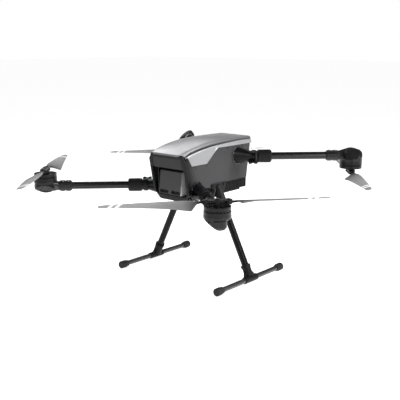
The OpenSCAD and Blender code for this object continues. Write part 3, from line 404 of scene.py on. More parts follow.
class Shape:
    """Collects geometry in a frame of its own, in mm, and becomes one object."""

    def __init__(self):
        self.bm = bmesh.new()

    def add(self, points, faces, matrix=None):
        verts = [self.bm.verts.new(matrix @ Vector(p) if matrix else p) for p in points]
        for face in faces:
            try:
                self.bm.faces.new([verts[i] for i in face])
            except ValueError:
                pass
        return verts

    def take(self, other):
        """Adds another Shape's geometry, and ends that Shape."""
        mesh = bpy.data.meshes.new("taken")
        other.bm.to_mesh(mesh)
        other.bm.free()
        self.bm.from_mesh(mesh)

    def loft(self, rings, caps=True, matrix=None):
        """Quads through closed rings of equally many points, with flat ends."""
        n, m = len(rings[0]), len(rings)
        faces = []
        for k in range(m - 1):
            for i in range(n):
                a, b = k * n + i, k * n + (i + 1) % n
                faces.append((a, b, b + n, a + n))
        if caps:
            faces.append(tuple(range(n - 1, -1, -1)))
            faces.append(tuple((m - 1) * n + i for i in range(n)))
        return self.add([p for r in rings for p in r], faces, matrix)

    def revolve(self, profile, segments=64, matrix=None):
        """A profile of (radius, height) pairs turned about z; it is closed where it meets r = 0."""
        return self.loft([circle(max(r, 1e-4), z, segments) for r, z in profile], matrix=matrix)

    def ring(self, profile, segments=64, matrix=None):
        """A closed profile of (radius, height) pairs turned about z, such as a washer or tube."""
        rings = []
        for i in range(segments):
            a = 2 * math.pi * i / segments
            rings.append([(r * math.cos(a), r * math.sin(a), z) for r, z in profile])
        rings.append(rings[0])
        return self.loft(rings, False, matrix)

    def box(self, low, high, matrix=None, bevel=0.0):
        (x0, y0, z0), (x1, y1, z1) = low, high
        verts = self.add([(x0, y0, z0), (x1, y0, z0), (x1, y1, z0), (x0, y1, z0),
                          (x0, y0, z1), (x1, y0, z1), (x1, y1, z1), (x0, y1, z1)],
                         [(3, 2, 1, 0), (4, 5, 6, 7), (0, 1, 5, 4), (1, 2, 6, 5),
                          (2, 3, 7, 6), (3, 0, 4, 7)], matrix)
        if bevel:
            edges = {e for v in verts for e in v.link_edges}
            bmesh.ops.bevel(self.bm, geom=list(edges), offset=bevel, segments=3,
                            profile=0.5, affect="EDGES")

    def hull(self, points):
        verts = [self.bm.verts.new(p) for p in points]
        made = bmesh.ops.convex_hull(self.bm, input=verts)
        spare = list({v for v in made["geom_interior"] + made["geom_unused"]
                      if isinstance(v, bmesh.types.BMVert)})
        bmesh.ops.delete(self.bm, geom=spare, context="VERTS")

    def finish(self, name, material, body, matrix=None, smooth=32.0, slot=None, stands_for=()):
        """Turns the geometry into an object in metres that rides on a body."""
        matrix = Matrix.Scale(MM, 4) @ (matrix or Matrix())
        bmesh.ops.remove_doubles(self.bm, verts=self.bm.verts, dist=0.002)
        self.bm.transform(matrix)
        bmesh.ops.recalc_face_normals(self.bm, faces=self.bm.faces)
        mesh = bpy.data.meshes.new(name)
        self.bm.to_mesh(mesh)
        self.bm.free()
        mesh.shade_smooth()
        mesh.set_sharp_from_angle(angle=math.radians(smooth))
        obj = new_object(name, mesh)
        dress(obj, M[material])
        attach(obj, body)
        if stands_for:
            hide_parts(*stands_for)
        return obj


def disc(radius, center, normal, count=96):
    """Points of a circle in 3-D."""
    q = Vector(normal).to_track_quat("Z", "Y")
    return [Vector(center) + q @ Vector(p) for p in circle(radius, 0, count)]


def x_axis(x0):
    """A frame whose z runs along +x from x0."""
    return Matrix.Translation((x0, 0, 0)) @ Matrix.Rotation(math.pi / 2, 4, "Y")


# ---------- fuselage cover


def smooth_lookup(x, table):
    """A curve through a table's points that doesn't overshoot them."""
    xs, ys = [p[0] for p in table], [p[1] for p in table]
    if x <= xs[0]:
        return ys[0]
    if x >= xs[-1]:
        return ys[-1]
    k = max(i for i in range(len(xs) - 1) if xs[i] <= x)
    slopes = [(ys[i + 1] - ys[i]) / (xs[i + 1] - xs[i]) for i in range(len(xs) - 1)]

    def tangent(i):
        if i == 0:
            return slopes[0]
        if i == len(xs) - 1:
            return slopes[-1]
        a, b = slopes[i - 1], slopes[i]
        return 0.0 if a * b <= 0 else 2 * a * b / (a + b)

    h = xs[k + 1] - xs[k]
    t = (x - xs[k]) / h
    return (ys[k] * (1 + 2 * t) * (1 - t) ** 2 + h * tangent(k) * t * (1 - t) ** 2
            + ys[k + 1] * t * t * (3 - 2 * t) + h * tangent(k + 1) * t * t * (t - 1))


def line_lookup(x, table):
    return float(np.interp(x, [p[0] for p in table], [p[1] for p in table]))


def shoulder(y):
    if y < SHOULDER_MID_Y:
        t = (SHOULDER_MID_Y - y) / (SHOULDER_MID_Y + NOSE_REACH)
        return SPINE_H - (SPINE_H - NOSE_H) * t ** 2.5
    return SPINE_H - 3 * ((y - SHOULDER_MID_Y) / (TAIL_REACH - SHOULDER_MID_Y)) ** 2


def cover_edge(y):
    return min(shoulder(y) - CREASE_DROP - 4, line_lookup(y, [
        (-NOSE_REACH, NOSE_H - 4), (NOSE_KINK, NOSE_H - 7), (FLANK_KINK, EDGE_LOW + 1),
        (BELLY_KINK, EDGE_LOW), (SPINE_KINK, EDGE_HIGH + 1), (TAIL_REACH, EDGE_HIGH - 1)]))


def half_section(y, inset):
    """From the middle of the top to the cover's lower edge: (x, up) pairs."""
    s, w = shoulder(y) - inset, HALF_W + 1 - inset
    rise = max(0.0, (y + NOSE_REACH) / (TAIL_REACH + NOSE_REACH))
    c = CROWN * max(0.0, math.sin(math.pi * rise ** 0.8))
    # the crease runs a little lower in the middle of its length
    along = min(1.0, max(0.0, (y + NOSE_REACH) / 370))
    dip = 7.0 * math.sin(math.pi * along ** 0.6)
    edge = cover_edge(y)
    crease = max(s - CREASE_DROP - dip, edge + 1.2)
    top = [(t * (w - 22), s + c * (1 - t * t)) for t in np.linspace(0, 0.92, 12)]
    arc = [(w - 22 + 14.5 * math.cos(a), s - (9 + dip) * (1 - math.sin(a)))
           for a in np.radians(np.linspace(90, 15, 16))]
    cut = 1.6 * min(1.0, max(0.0, (y - FLANK_KINK) / 60))
    groove = [(w - 7.9, crease + 4.2), (w - 7.7 - cut, crease + 3.4), (w - 7.5 - cut, crease + 0.8),
              (w - 7.2 - 0.5 * cut, crease + 0.2)]
    # a full roll under the groove, then an almost upright flank down to the edge
    roll = min(9.0, 0.55 * (crease - edge))
    out = min(1.0, (crease - edge) / 8) if y > NOSE_KINK else 0.2
    flank = [(w - 7.2 + 4.4 * out * math.sin(a), crease + 0.2 - roll * (1 - math.cos(a)))
             for a in np.radians((15, 32, 48, 62, 76, 90))]
    foot = crease + 0.2 - roll
    flank += [(w - 7.2 + (4.4 + 2.4 * t) * out, foot - (foot - edge) * t)
              for t in (0.25, 0.5, 0.75)]
    flank = groove + flank + [(w - 7.2 + 7.05 * out, edge + 0.8), (w - 7.2 + 7.2 * out, edge)]
    return top + arc + flank


ROLL_OVER = 18          # where the painted crease shade starts on the shoulder, as a point of a half section
GROOVE = (28, 31)       # first and last point of the groove, where the painted crease shade is full
LIP_END, LIP_FADE = 27, 12      # where the front lip ends, and over how many points it fades
LIPS = (((8.0, 3.0), (8.0, 1.0)), ((5.0, 3.0), (6.0, 1.0)), ((3.0, 2.9), (4.5, 1.0)),
        ((1.8, 2.4), (3.6, 0.8)), ((0.9, 1.6), (3.0, 0.6)), ((0.3, 0.7), (2.8, 0.4)))


def set_back(x, y):
    """On the flanks the front edge lies further back, round the bezel's corners."""
    t = min(1.0, max(0.0, (abs(x) - CORNER_START + 2) / 16))
    share = max(0.0, FLANK_KINK - y) / (FLANK_KINK + NOSE_REACH)
    return CORNER_SET * share * t * t * (3 - 2 * t)


def cover_line(y, inset):
    t = (y + NOSE_REACH) / (TAIL_REACH + NOSE_REACH)
    lean = -NOSE_TAN + t * (NOSE_TAN + TAIL_TAN)
    half = half_section(y, inset)
    line = [(-x, up) for x, up in reversed(half[1:])] + half
    return [(x, y + lean * (up - shoulder(y)) + set_back(x, y), up) for x, up in line]


def lip_line(inset, ahead):
    """The front line brought in and ahead, for the lip that turns down over the bezel."""
    front = -NOSE_REACH + 0.5
    outer, inner = cover_line(front, 0.0), cover_line(front, inset)
    middle = len(outer) // 2
    line = []
    for i, (a, b) in enumerate(zip(outer, inner)):
        f = min(1.0, max(0.0, (LIP_END - abs(i - middle)) / LIP_FADE))
        f *= f * (3 - 2 * f)
        forward = b[1] - set_back(b[0], front) - (a[1] - set_back(a[0], front)) - ahead
        line.append((a[0] + f * (b[0] - a[0]), a[1] + f * forward, a[2] + f * (b[2] - a[2])))
    return line


def build_top_cover():
    kinks = [-NOSE_REACH + 0.5, NOSE_KINK, FLANK_KINK, BELLY_KINK, SPINE_KINK, TAIL_REACH]
    counts = (6, 10, 14, 12, 24)
    ys = [y for a, b, n in zip(kinks, kinks[1:], counts) for y in np.linspace(a, b, n)[:-1]]
    ys.append(TAIL_REACH)
    shape = Shape()
    # per-point weights for painted shade: in the crease under the shoulder (groove) and on the
    # front lip (lip)
    crease_shade = shape.bm.verts.layers.float.new("groove")
    front = shape.bm.verts.layers.float.new("lip")
    rings = [lip_line(*outer) + list(reversed(lip_line(*inner))) for outer, inner in LIPS]
    rings += [cover_line(y, 0.0) + list(reversed(cover_line(y, SHELL_T))) for y in ys]
    verts = shape.loft(rings)
    count = len(rings[0])
    middle = count // 4
    for i, vert in enumerate(verts):
        ring, at = divmod(i, count)
        # the first four rings, the front lip, take full painted shade; the crease shade grows from
        # the shoulder into the groove
        vert[front] = 1.0 if ring < 4 else 0.0
        row = abs(at - middle)
        if at <= 2 * middle and row <= GROOVE[1]:
            vert[crease_shade] = min(1.0, max(0.0, (row - ROLL_OVER) / (GROOVE[0] - ROLL_OVER)))
    shape.finish("cover_shell", "silver_shell", "airframe", LIFT, 40.0, stands_for=["top_cover"])


# ---------- work on whole objects


def apply_all(obj):
    """Applies an object's modifiers to its mesh."""
    bpy.context.view_layer.update()
    graph = bpy.context.evaluated_depsgraph_get()
    mesh = bpy.data.meshes.new_from_object(obj.evaluated_get(graph))
    obj.modifiers.clear()
    obj.data = mesh


def steady(obj, sharp):
    """Smooth shading up to the angle sharp, with broad faces kept flat whatever their edges do."""
    obj.data.shade_smooth()
    obj.data.set_sharp_from_angle(angle=math.radians(sharp))
    weigh = obj.modifiers.new("weigh", "WEIGHTED_NORMAL")
    weigh.keep_sharp, weigh.weight = True, 60
    apply_all(obj)


def loose(shape, name="loose"):
    """A Shape as a bare object in mm, for cutting."""
    mesh = bpy.data.meshes.new(name)
    bmesh.ops.recalc_face_normals(shape.bm, faces=shape.bm.faces)
    shape.bm.to_mesh(mesh)
    shape.bm.free()
    return new_object(name, mesh)


def cut_by(obj, cutter):
    """Takes a closed cutter, a Shape in the same frame in mm, out of an object."""
    tool = loose(cutter, "tool")
    cut = obj.modifiers.new("cut", "BOOLEAN")
    cut.operation, cut.object, cut.solver = "DIFFERENCE", tool, "EXACT"
    apply_all(obj)
    bpy.data.objects.remove(tool)


def taken_up(obj):
    """A Shape again from a loose object, which goes."""
    shape = Shape()
    shape.bm.from_mesh(obj.data)
    bpy.data.objects.remove(obj)
    return shape


# ---------- nose

NOSE = LIFT @ Matrix.Translation((0, -NOSE_REACH + NOSE_H * NOSE_TAN, 0)) @ Matrix.Rotation(
    math.pi / 2 + math.atan(NOSE_TAN), 4, "X")      # x across, y up the slope, z outwards


def rounded(points, radii):
    """A closed outline with each corner drawn as a smooth curve of about the given radius."""
    outline = []
    for i, (p, radius) in enumerate(zip(points, radii)):
        p = Vector(p)
        a, b = Vector(points[i - 1]) - p, Vector(points[(i + 1) % len(points)]) - p
        reach = radius / math.tan(max(a.angle(b), 0.2) / 2)
        start = p + a.normalized() * min(reach, 0.48 * a.length)
        end = p + b.normalized() * min(reach, 0.48 * b.length)
        for t in np.linspace(0, 1, 9):
            q = start * (1 - t) ** 2 + p * 2 * t * (1 - t) + end * t * t
            outline.append((q.x, q.y))
    return outline


def mirrored(right, radii):
    """The rounded outline made of a right half, from the bottom up, and its mirror image."""
    return rounded(right + [(-x, y) for x, y in reversed(right)], radii + radii[::-1])


def rim_outline(inset):
    half, lip_up = HALF_W + 3.5 - inset, NOSE_LEN - 22
    under_w = HALF_W - 6.6 - SHELL_T - 2 * SEAM - inset
    under_top = NOSE_LEN - SHELL_T - 2 * SEAM - inset
    right = [(66 - inset * 0.6, inset), (half - 3, 34 + inset * 0.4), (half, 84),
             (half, lip_up - 6), (under_w + 4.4, lip_up + 7), (under_w, under_top)]
    return mirrored(right, [16.0, 30.0, 80.0, 9.0, 5.0, 13.0])


def window_outline(grow):
    w = WINDOW_HALF + grow
    sill = ((BAY_FLOOR - LINER_T - SEAM) / math.cos(math.atan(NOSE_TAN)) - BEZEL_DEPTH * NOSE_TAN
            - grow)
    head = VISOR_LOW - 1 + grow
    return mirrored([(w - 10, sill), (w, sill + 10), (w, head)], [9.0, 9.0, 3.0 + grow])


def visor_outline(grow):
    w = WINDOW_HALF - 8 + grow
    return mirrored([(w, VISOR_LOW - grow), (w, VISOR_HIGH + grow)], [3.0, 8.0])


def stack(outline, levels):
    """Rings of an outline at (height, grow) levels."""
    return [[(x, y, z) for x, y in outline(grow)] for z, grow in levels]


def build_nose():
    body = Shape()
    body.loft(stack(rim_outline, [(-13, 3.1), (-11.5, 2.1), (-9.5, 1.1), (-7.6, 0.3), (-6, 0),
                                  (-4.2, 0.4), (-2.6, 1.2), (-1.5, 2.2), (-0.8, 3.2), (-0.25, 4.5),
                                  (0, 6)]))
    obj = loose(body)
    window = Shape()
    window.loft(stack(window_outline, [(-15, 0), (-2.4, 0), (-1.6, 0.2), (-0.9, 0.7), (-0.35, 1.4),
                                       (0.1, 2.3), (2, 4)]))
    cut_by(obj, window)
    pocket = Shape()
    pocket.loft(stack(visor_outline, [(-4, SEAM), (2, SEAM)]))
    cut_by(obj, pocket)
    rim = taken_up(obj).finish("nose_rim", "bezel", "airframe", NOSE, 35.0, "black_shell",
                               stands_for=["nose_bezel"])
    plate = Shape()
    plate.loft(stack(visor_outline, [(-4, 0), (-1.9, 0), (-1.4, -0.15), (-1.1, -0.5), (-1, -1.2)]))
    plate = plate.finish("visor_plate", "visor", "airframe", NOSE, 35.0, stands_for=["nose_visor"])
    for obj in (rim, plate):
        steady(obj, 35)


# ---------- propeller blades

PROP_R = 381.0
PROP_PITCH = 240.0
BLADE_ANGLE = 94.6
BOLT_X = 36.0
BLADE_REACH = PROP_R - BOLT_X
MOUNT_RISE = 22.0
BELL_TOP = MOUNT_RISE + 13.0 + 2.4 + 14.5       # foot ring, slot and bell
HUB_BASE, HUB_PLATE, HUB_SLOT, HUB_GAP = 6.0, 3.0, 8.4, 0.1
PROP_RISE = BELL_TOP + HUB_BASE + HUB_PLATE + HUB_SLOT / 2 + HUB_GAP
CHORD = [(0, 17), (0.05, 16), (0.09, 20), (0.13, 42), (0.165, 60), (0.22, 62), (0.35, 58),
         (0.5, 51), (0.65, 44), (0.8, 36), (0.92, 29), (0.975, 22), (1, 11)]
LEAD = [(0, -8.5), (0.1, -10), (0.2, -17), (0.35, -19), (0.6, -17), (0.85, -13), (0.95, -9),
        (1, 0)]
THICKNESS = [(0, 5.4), (0.165, 5.4), (0.35, 4.6), (1, 1.8)]
FOIL_TOP = [(0, 0), (0.06, 0.45), (0.25, 0.95), (0.5, 1), (0.8, 0.55), (1, 0.08)]
FOIL_LOW = [(0, 0), (0.06, -0.3), (0.25, -0.1), (0.5, 0.1), (0.8, 0.08), (1, 0.06)]


def blade_ring(s):
    """One smooth aerofoil section at the share s of the blade's length."""
    chord, lead = smooth_lookup(s, CHORD), smooth_lookup(s, LEAD)
    twist = math.atan(PROP_PITCH / (2 * math.pi * (BOLT_X + s * BLADE_REACH)))
    twist *= min(1.0, max(0.0, (s - 0.04) / 0.12))
    t = max(1.8, line_lookup(s, THICKNESS))
    us = [0.5 * (1 - math.cos(math.pi * k / 12)) for k in range(13)]
    outline = [(u, smooth_lookup(u, FOIL_TOP)) for u in us]
    outline += [(u, smooth_lookup(u, FOIL_LOW)) for u in reversed(us[1:])]
    ring = []
    for u, h in outline:
        y, z = lead + u * chord, (h - 0.4) * t
        ring.append((s * BLADE_REACH, y * math.cos(twist) + z * math.sin(twist),
                     z * math.cos(twist) - y * math.sin(twist)))
    return ring


def build_blade(arm, which):
    letter = "ab"[which]
    shape = Shape()
    stations = sorted(set(np.round(np.concatenate([
        np.linspace(0.022, 0.24, 24), np.linspace(0.25, 0.92, 30), np.linspace(0.93, 1.0, 8)]), 5)))
    shape.loft([blade_ring(s) for s in stations])
    lug_r, half_t, hole_r = 11.5, 3.8, 3.06
    shape.ring([(hole_r, -half_t), (lug_r - 0.8, -half_t), (lug_r, -half_t + 0.8),
                (lug_r, half_t - 0.8), (lug_r - 0.8, half_t), (hole_r, half_t)], 48)
    place = arm_matrix(arm) @ Matrix.Translation((MOTOR_R, 0, PROP_RISE))
    place = place @ Matrix.Rotation(math.radians(BLADE_ANGLE + 180 * which), 4, "Z")
    place = place @ Matrix.Translation((BOLT_X, 0, 0))
    if arm.startswith("rear"):
        place = place @ Matrix.Scale(-1, 4, (0, 0, 1))
    obj = shape.finish(f"{arm}_foil_{letter}", "blade", f"{arm}_blade_{letter}", place, 50.0,
                       stands_for=[f"{arm}_blade_{letter}"])
    # distance along and across the blade, for the paint
    back = (Matrix.Scale(MM, 4) @ place).inverted()
    along = obj.data.attributes.new("along", "FLOAT", "POINT")
    across = obj.data.attributes.new("across", "FLOAT", "POINT")
    for i, v in enumerate(obj.data.vertices):
        p = back @ v.co
        along.data[i].value = (BOLT_X + p.x) / PROP_R
        across.data[i].value = p.y


# ---------- pieces made from the CAD's own meshes


def rounded_copy(node, width):
    """The CAD node's shape with its sharp edges rounded off, width in mm."""
    bm = bmesh.new()
    bm.from_mesh(nodes[node].data)
    bmesh.ops.remove_doubles(bm, verts=bm.verts, dist=2e-6)
    bmesh.ops.dissolve_limit(bm, angle_limit=math.radians(0.6), verts=bm.verts, edges=bm.edges)
    mesh = bpy.data.meshes.new(node + "_rounded")
    bm.to_mesh(mesh)
    bm.free()
    obj = new_object(node + "_rounded", mesh)
    bevel = obj.modifiers.new("edges", "BEVEL")
    bevel.width, bevel.segments = width * MM, 2
    bevel.limit_method, bevel.angle_limit = "ANGLE", math.radians(32)
    apply_all(obj)
    steady(obj, 38)
    dress(obj, M[look_of[node]])
    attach(obj, nodes[node]["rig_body"])
    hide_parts(node)


def moulded(obj):
    """Fuses a piece's overlapping forms into one skin with small fillets."""
    material = obj.data.materials[0]
    remesh = obj.modifiers.new("fuse", "REMESH")
    remesh.mode, remesh.voxel_size = "VOXEL", 0.9 * MM
    soften = obj.modifiers.new("fillets", "SMOOTH")
    soften.factor, soften.iterations = 0.5, 4
    thin = obj.modifiers.new("thin", "DECIMATE")
    thin.ratio = 0.35
    apply_all(obj)
    steady(obj, 50)
    dress(obj, material)


# ---------- motor mounts

MOUNT_R = 46.0
CLAMP_X, CLAMP_L, CLAMP_R = 516.0, 52.0, 20.0
CAP_R, CAP_H, CAP_TILT, FINS = 37.0, 9.0, 40.0, 24
TUBE_R = 15.0


def cap_frame(side):
    """The seat of the round cooling cap, z out of the mount."""
    m = Matrix.Translation((MOTOR_R, side * 15.0, -4.0))
    return m @ Matrix.Rotation(math.radians(side * (CAP_TILT - 180)), 4, "X")


def build_mount(arm):
    """The casting that holds the motor: a cup, a body cut off at the cap's seat, and a clamp."""
    side = 1 if arm.startswith("rear") else -1
    cap = cap_frame(side)
    shape = Shape()
    shape.revolve([(0, 6), (34, 5), (MOUNT_R, MOUNT_RISE - 9), (MOUNT_R, MOUNT_RISE),
                   (MOUNT_R - 12, MOUNT_RISE), (MOUNT_R - 12, MOUNT_RISE - 5), (0, MOUNT_RISE - 5)],
                  96, Matrix.Translation((MOTOR_R, 0, 0)))
    block = Shape()
    corner, reach, half, low = 17.0, 44.0, 28.0, -21.0
    points = []
    for x, y in ((reach - corner, -1), (reach - corner, 1), (-20.0, -1)):
        center = (MOTOR_R + x, y * side * (half - corner), 0)
        for r, z in ((corner, 9.0), (corner, -13.0), (corner - 7, low)):
            points += disc(r, (center[0], center[1], z), (0, 0, 1), 48)
    points += [cap @ p for p in disc(CAP_R + 3.5, (0, 0, -0.2), (0, 0, 1), 96)]
    points += disc(CLAMP_R - 1, (CLAMP_X + CLAMP_L, 0, 0), (1, 0, 0), 64)
    block.hull(points)
    normal = (cap.to_3x3() @ Vector((0, 0, 1))).normalized()
    cut = bmesh.ops.bisect_plane(block.bm, geom=list(block.bm.verts) + list(block.bm.edges)
                                 + list(block.bm.faces), plane_co=cap @ Vector((0, 0, 0)),
                                 plane_no=normal, clear_outer=True)
    rim = [e for e in cut["geom_cut"] if isinstance(e, bmesh.types.BMEdge)]
    bmesh.ops.holes_fill(block.bm, edges=rim, sides=0)
    shape.take(block)
    # clamp: a tube with a flat boss each side and screw lands above and below
    shape.ring([(TUBE_R + 0.2, CLAMP_X), (CLAMP_R, CLAMP_X), (CLAMP_R, CLAMP_X + CLAMP_L),
                (TUBE_R + 0.2, CLAMP_X + CLAMP_L)], 96, x_axis(0))
    for s in (-1, 1):
        low_z, high_z = (CLAMP_R - 4, CLAMP_R + 1) if s > 0 else (-CLAMP_R - 1, -CLAMP_R + 4)
        for x in (CLAMP_X + 4, CLAMP_X + 27):
            shape.box((x, -9, low_z), (x + 19, 9, high_z))
        y0, y1 = sorted((s * (TUBE_R + 1.5), s * (CLAMP_R + 1.5)))
        shape.box((CLAMP_X, y0, -7), (CLAMP_X + CLAMP_L - 4, y1, 7))
    moulded(shape.finish(f"{arm}_mount_casting", "mount", f"{arm}_arm", arm_matrix(arm),
                         slot="black_nylon", stands_for=[f"{arm}_motor_mount"]))


def build_cap(arm):
    """The mount's round finned cooling cap."""
    cap = cap_frame(1 if arm.startswith("rear") else -1)
    cover = Shape()
    face_r = CAP_R - 8
    cover.revolve([(0, -0.3), (CAP_R - 0.3, -0.3), (CAP_R, 0.2), (CAP_R, 1.6), (CAP_R - 1, 2.2),
                   (face_r, 2.2), (face_r, CAP_H - 0.8), (face_r - 0.8, CAP_H),
                   (face_r - 4, CAP_H), (face_r - 5.5, CAP_H - 2), (0, CAP_H - 2)], 96, cap)
    for k in range(FINS):
        turn = Matrix.Rotation(2 * math.pi * (k + 0.5) / FINS, 4, "Z")
        cover.add([(face_r - 1, -2.2, 1), (CAP_R, -2.6, 1), (CAP_R, 2.6, 1), (face_r - 1, 2.2, 1),
                   (face_r - 1, -2.0, CAP_H - 1), (face_r + 1, -2.1, CAP_H - 1),
                   (CAP_R, -2.4, 3.6), (CAP_R, 2.4, 3.6), (face_r + 1, 2.1, CAP_H - 1),
                   (face_r - 1, 2.0, CAP_H - 1)],
                  [(0, 3, 2, 1), (0, 1, 6, 5, 4), (3, 9, 8, 7, 2), (1, 2, 7, 6),
                   (5, 6, 7, 8), (4, 5, 8, 9), (0, 4, 9, 3)], cap @ turn)
    for k in range(6):
        a = math.pi * k / 3
        cover.revolve([(0, CAP_H - 2.2), (2.4, CAP_H - 2.2), (2.4, CAP_H - 1.0),
                       (2.0, CAP_H - 0.6), (0, CAP_H - 0.6)], 20,
                      cap @ Matrix.Translation((16 * math.cos(a), 16 * math.sin(a), 0)))
    cover.finish(f"{arm}_cooling_cap", "bell", f"{arm}_arm", arm_matrix(arm), 30.0, "black_nylon")


def build_clamp_screws(arm):
    screws = Shape()
    for x in (CLAMP_X + 12, CLAMP_X + 34):
        for s in (-1, 1):
            side = Matrix.Translation((x, s * 9.0, CLAMP_R - 1.5))
            hex_head(screws, side @ Matrix.Rotation(-s * math.pi / 2, 4, "X"), 2.6, 1.6)
        for y in (-5.5, 5.5):
            under = Matrix.Translation((x + 1, y, -CLAMP_R - 1))
            hex_head(screws, under @ Matrix.Rotation(math.pi, 4, "X"), 2.4, 1.4)
    screws.finish(f"{arm}_clamp_screws", "steel", f"{arm}_arm", arm_matrix(arm), 30.0)


def hex_head(shape, matrix, radius, height):
    """A socket-head screw: domed rim and a six-sided recess."""
    count = 24
    profile = [(radius, -0.4), (radius, height - 0.3), (radius - 0.3, height)]
    rings = [circle(r, z, count) for r, z in profile]
    for z in (height, height * 0.35):
        ring = []
        for i in range(count):
            a = 2 * math.pi * i / count
            six = (a + math.pi / 6) % (math.pi / 3) - math.pi / 6
            r = radius * 0.55
            ring.append((r * math.cos(a) / math.cos(six), r * math.sin(a) / math.cos(six), z))
        rings.append(ring)
    shape.loft(rings, matrix=matrix)


# ---------- arm roots

FRAME_X, FRAME_T = 84.0, 3.0                    # the side frames' outer face and thickness
FLANGE_X = FRAME_X + FRAME_T + 0.1
FLANGE_T = HALF_W + 3.0 - FLANGE_X
FLANGE_R, NECK_R = 38.0, 31.0
FLANGE_Y = {"front": NOSE_REACH - (NOSE_H - ARM_UP["front"]) * NOSE_TAN
            - (BEZEL_DEPTH + FLANGE_R + 1.0) / math.cos(math.atan(NOSE_TAN)), "rear": 131.0}
PIN_X, PIN_Y, PIN_R = 224.0, 31.0, 4.0
SPLIT_X = PIN_X - 2.0
RING_X = SPLIT_X - 11.0
EAR_R, EAR_T, EAR_TOP, EAR_BACK = 8.0, 5.4, 23.0, 27.0
RING_R, RING_BORE, BORE_R = EAR_TOP + 2.5, 11.0, 9.0


def flange_frame(end):
    """z out of the fuselage's side, from the flange's inner face."""
    m = Matrix.Rotation(math.radians(ARM_ANGLE), 4, "Z")
    m = m @ Matrix.Translation((FLANGE_X, -FLANGE_Y[end], 0))
    return m @ Matrix.Rotation(math.pi / 2, 4, "Y")


def stub_frame(end):
    """x along the stub, from its flange to its ring."""
    start = flange_frame(end) @ Vector((0, 0, FLANGE_T))
    run = Vector((RING_X, 0, 0)) - start
    m = Matrix.Translation(start) @ Matrix.Rotation(math.atan2(run.y, run.x), 4, "Z")
    return m, run.length


def root_stub(end):
    """The hollow cone between flange and ring, with a pocket in its lower side."""
    flange = flange_frame(end)
    stub, length = stub_frame(end)
    cone = Shape()
    points = [flange @ p for p in disc(NECK_R + 3.5, (0, 0, FLANGE_T - 1), (0, 0, 1), 96)]
    points += [flange @ p for p in disc(NECK_R, (0, 0, FLANGE_T + 3), (0, 0, 1), 96)]
    points += disc(20.5, (RING_X, 0, 0), (1, 0, 0), 96)
    cone.hull(points)
    form = loose(cone)
    pocket = Shape()
    far = length - 8
    pocket.add([stub @ Vector(p) for p in (
        (8, -16, 12), (far, -16, 4), (far, -16, -4), (8, -16, -12),
        (8, -60, 12), (far, -60, 4), (far, -60, -4), (8, -60, -12))],
        [(0, 1, 2, 3), (7, 6, 5, 4), (0, 4, 5, 1), (1, 5, 6, 2), (2, 6, 7, 3), (3, 7, 4, 0)])
    cut_by(form, pocket)
    bore = Shape()
    bore.revolve([(BORE_R, -20), (BORE_R, length + 40)], 32,
                 stub @ Matrix.Rotation(math.pi / 2, 4, "Y"))
    cut_by(form, bore)
    return taken_up(form)


def build_root(end, side):
    arm = f"{end}_{side}"
    place, flange = arm_matrix(arm), flange_frame(end)
    shape = root_stub(end)
    shape.ring([(BORE_R, 0), (FLANGE_R, 0), (FLANGE_R, FLANGE_T), (BORE_R, FLANGE_T)], 96, flange)
    shape.ring([(RING_BORE, RING_X), (RING_R, RING_X), (RING_R, SPLIT_X), (RING_BORE, SPLIT_X)],
               96, x_axis(0))
    for low in (-EAR_TOP, EAR_TOP - EAR_T):
        high = low + EAR_T
        shape.box((SPLIT_X - EAR_BACK, 0, low), (SPLIT_X, PIN_Y - 4, high))
        shape.box((SPLIT_X - EAR_BACK, PIN_Y - EAR_R, low), (PIN_X, PIN_Y + EAR_R, high))
        shape.ring([(PIN_R + 0.15, low), (EAR_R, low), (EAR_R, high), (PIN_R + 0.15, high)], 48,
                   Matrix.Translation((PIN_X, PIN_Y, 0)))
    look = "root_metal" if end == "rear" else "black_metal"
    moulded(shape.finish(f"{arm}_root_casting", look, "airframe", place, slot="black_metal",
                         stands_for=[f"{end}_arm_roots"]))
    bolts = Shape()
    ring_r = FLANGE_R - 3.6
    for k in range(6):
        a = math.radians(7.5 + 60 * k)
        spot = Matrix.Translation((ring_r * math.cos(a), ring_r * math.sin(a), FLANGE_T))
        hex_head(bolts, flange @ spot, 2.8, 2.4)
    bolts.finish(f"{arm}_flange_bolts", "steel", "airframe", place, 30.0)


# ---------- carbon tubes

TUBE_WALL = 1.5


def build_tube(name, look, radius, length, matrix, body, stands_for, segments=96):
    """A weave-covered tube along its frame's z from 0 to length, in mm."""
    shape = Shape()
    inner, chamfer = radius - TUBE_WALL, 0.3
    shape.ring([(inner, 0), (radius - chamfer, 0), (radius, chamfer),
                (radius, length - chamfer), (radius - chamfer, length), (inner, length)],
               segments, matrix)
    obj = shape.finish(name, look, body, slot="carbon", stands_for=[stands_for])
    back = (Matrix.Scale(MM, 4) @ matrix).inverted()
    girth = obj.data.attributes.new("girth", "FLOAT", "CORNER")
    run = obj.data.attributes.new("length", "FLOAT", "CORNER")
    for face in obj.data.polygons:
        middle = back @ face.center
        centre = math.atan2(middle.y, middle.x)
        for li in face.loop_indices:
            p = back @ obj.data.vertices[obj.data.loops[li].vertex_index].co
            turn = (math.atan2(p.y, p.x) - centre + math.pi) % (2 * math.pi) - math.pi + centre
            girth.data[li].value = turn * radius * MM
            run.data[li].value = p.z * MM


# ---------- motor details

TEETH = 18
AT_MOTOR = Matrix.Translation((MOTOR_R, 0, 0))


def build_windings(arm):
    """Copper end turns standing on the motor's core, under the bell."""
    low, high, inner, outer, half = MOUNT_RISE + 22.6, MOUNT_RISE + 25.2, 27.5, 37.5, 3.4
    shape = Shape()
    for k in range(TEETH):
        turn = Matrix.Rotation(2 * math.pi * (k + 0.5) / TEETH, 4, "Z")
        shape.box((inner, -half, low), (outer, half, high), AT_MOTOR @ turn, 1.0)
    shape.finish(f"{arm}_windings", "copper", f"{arm}_arm", arm_matrix(arm), 40.0, "stator")


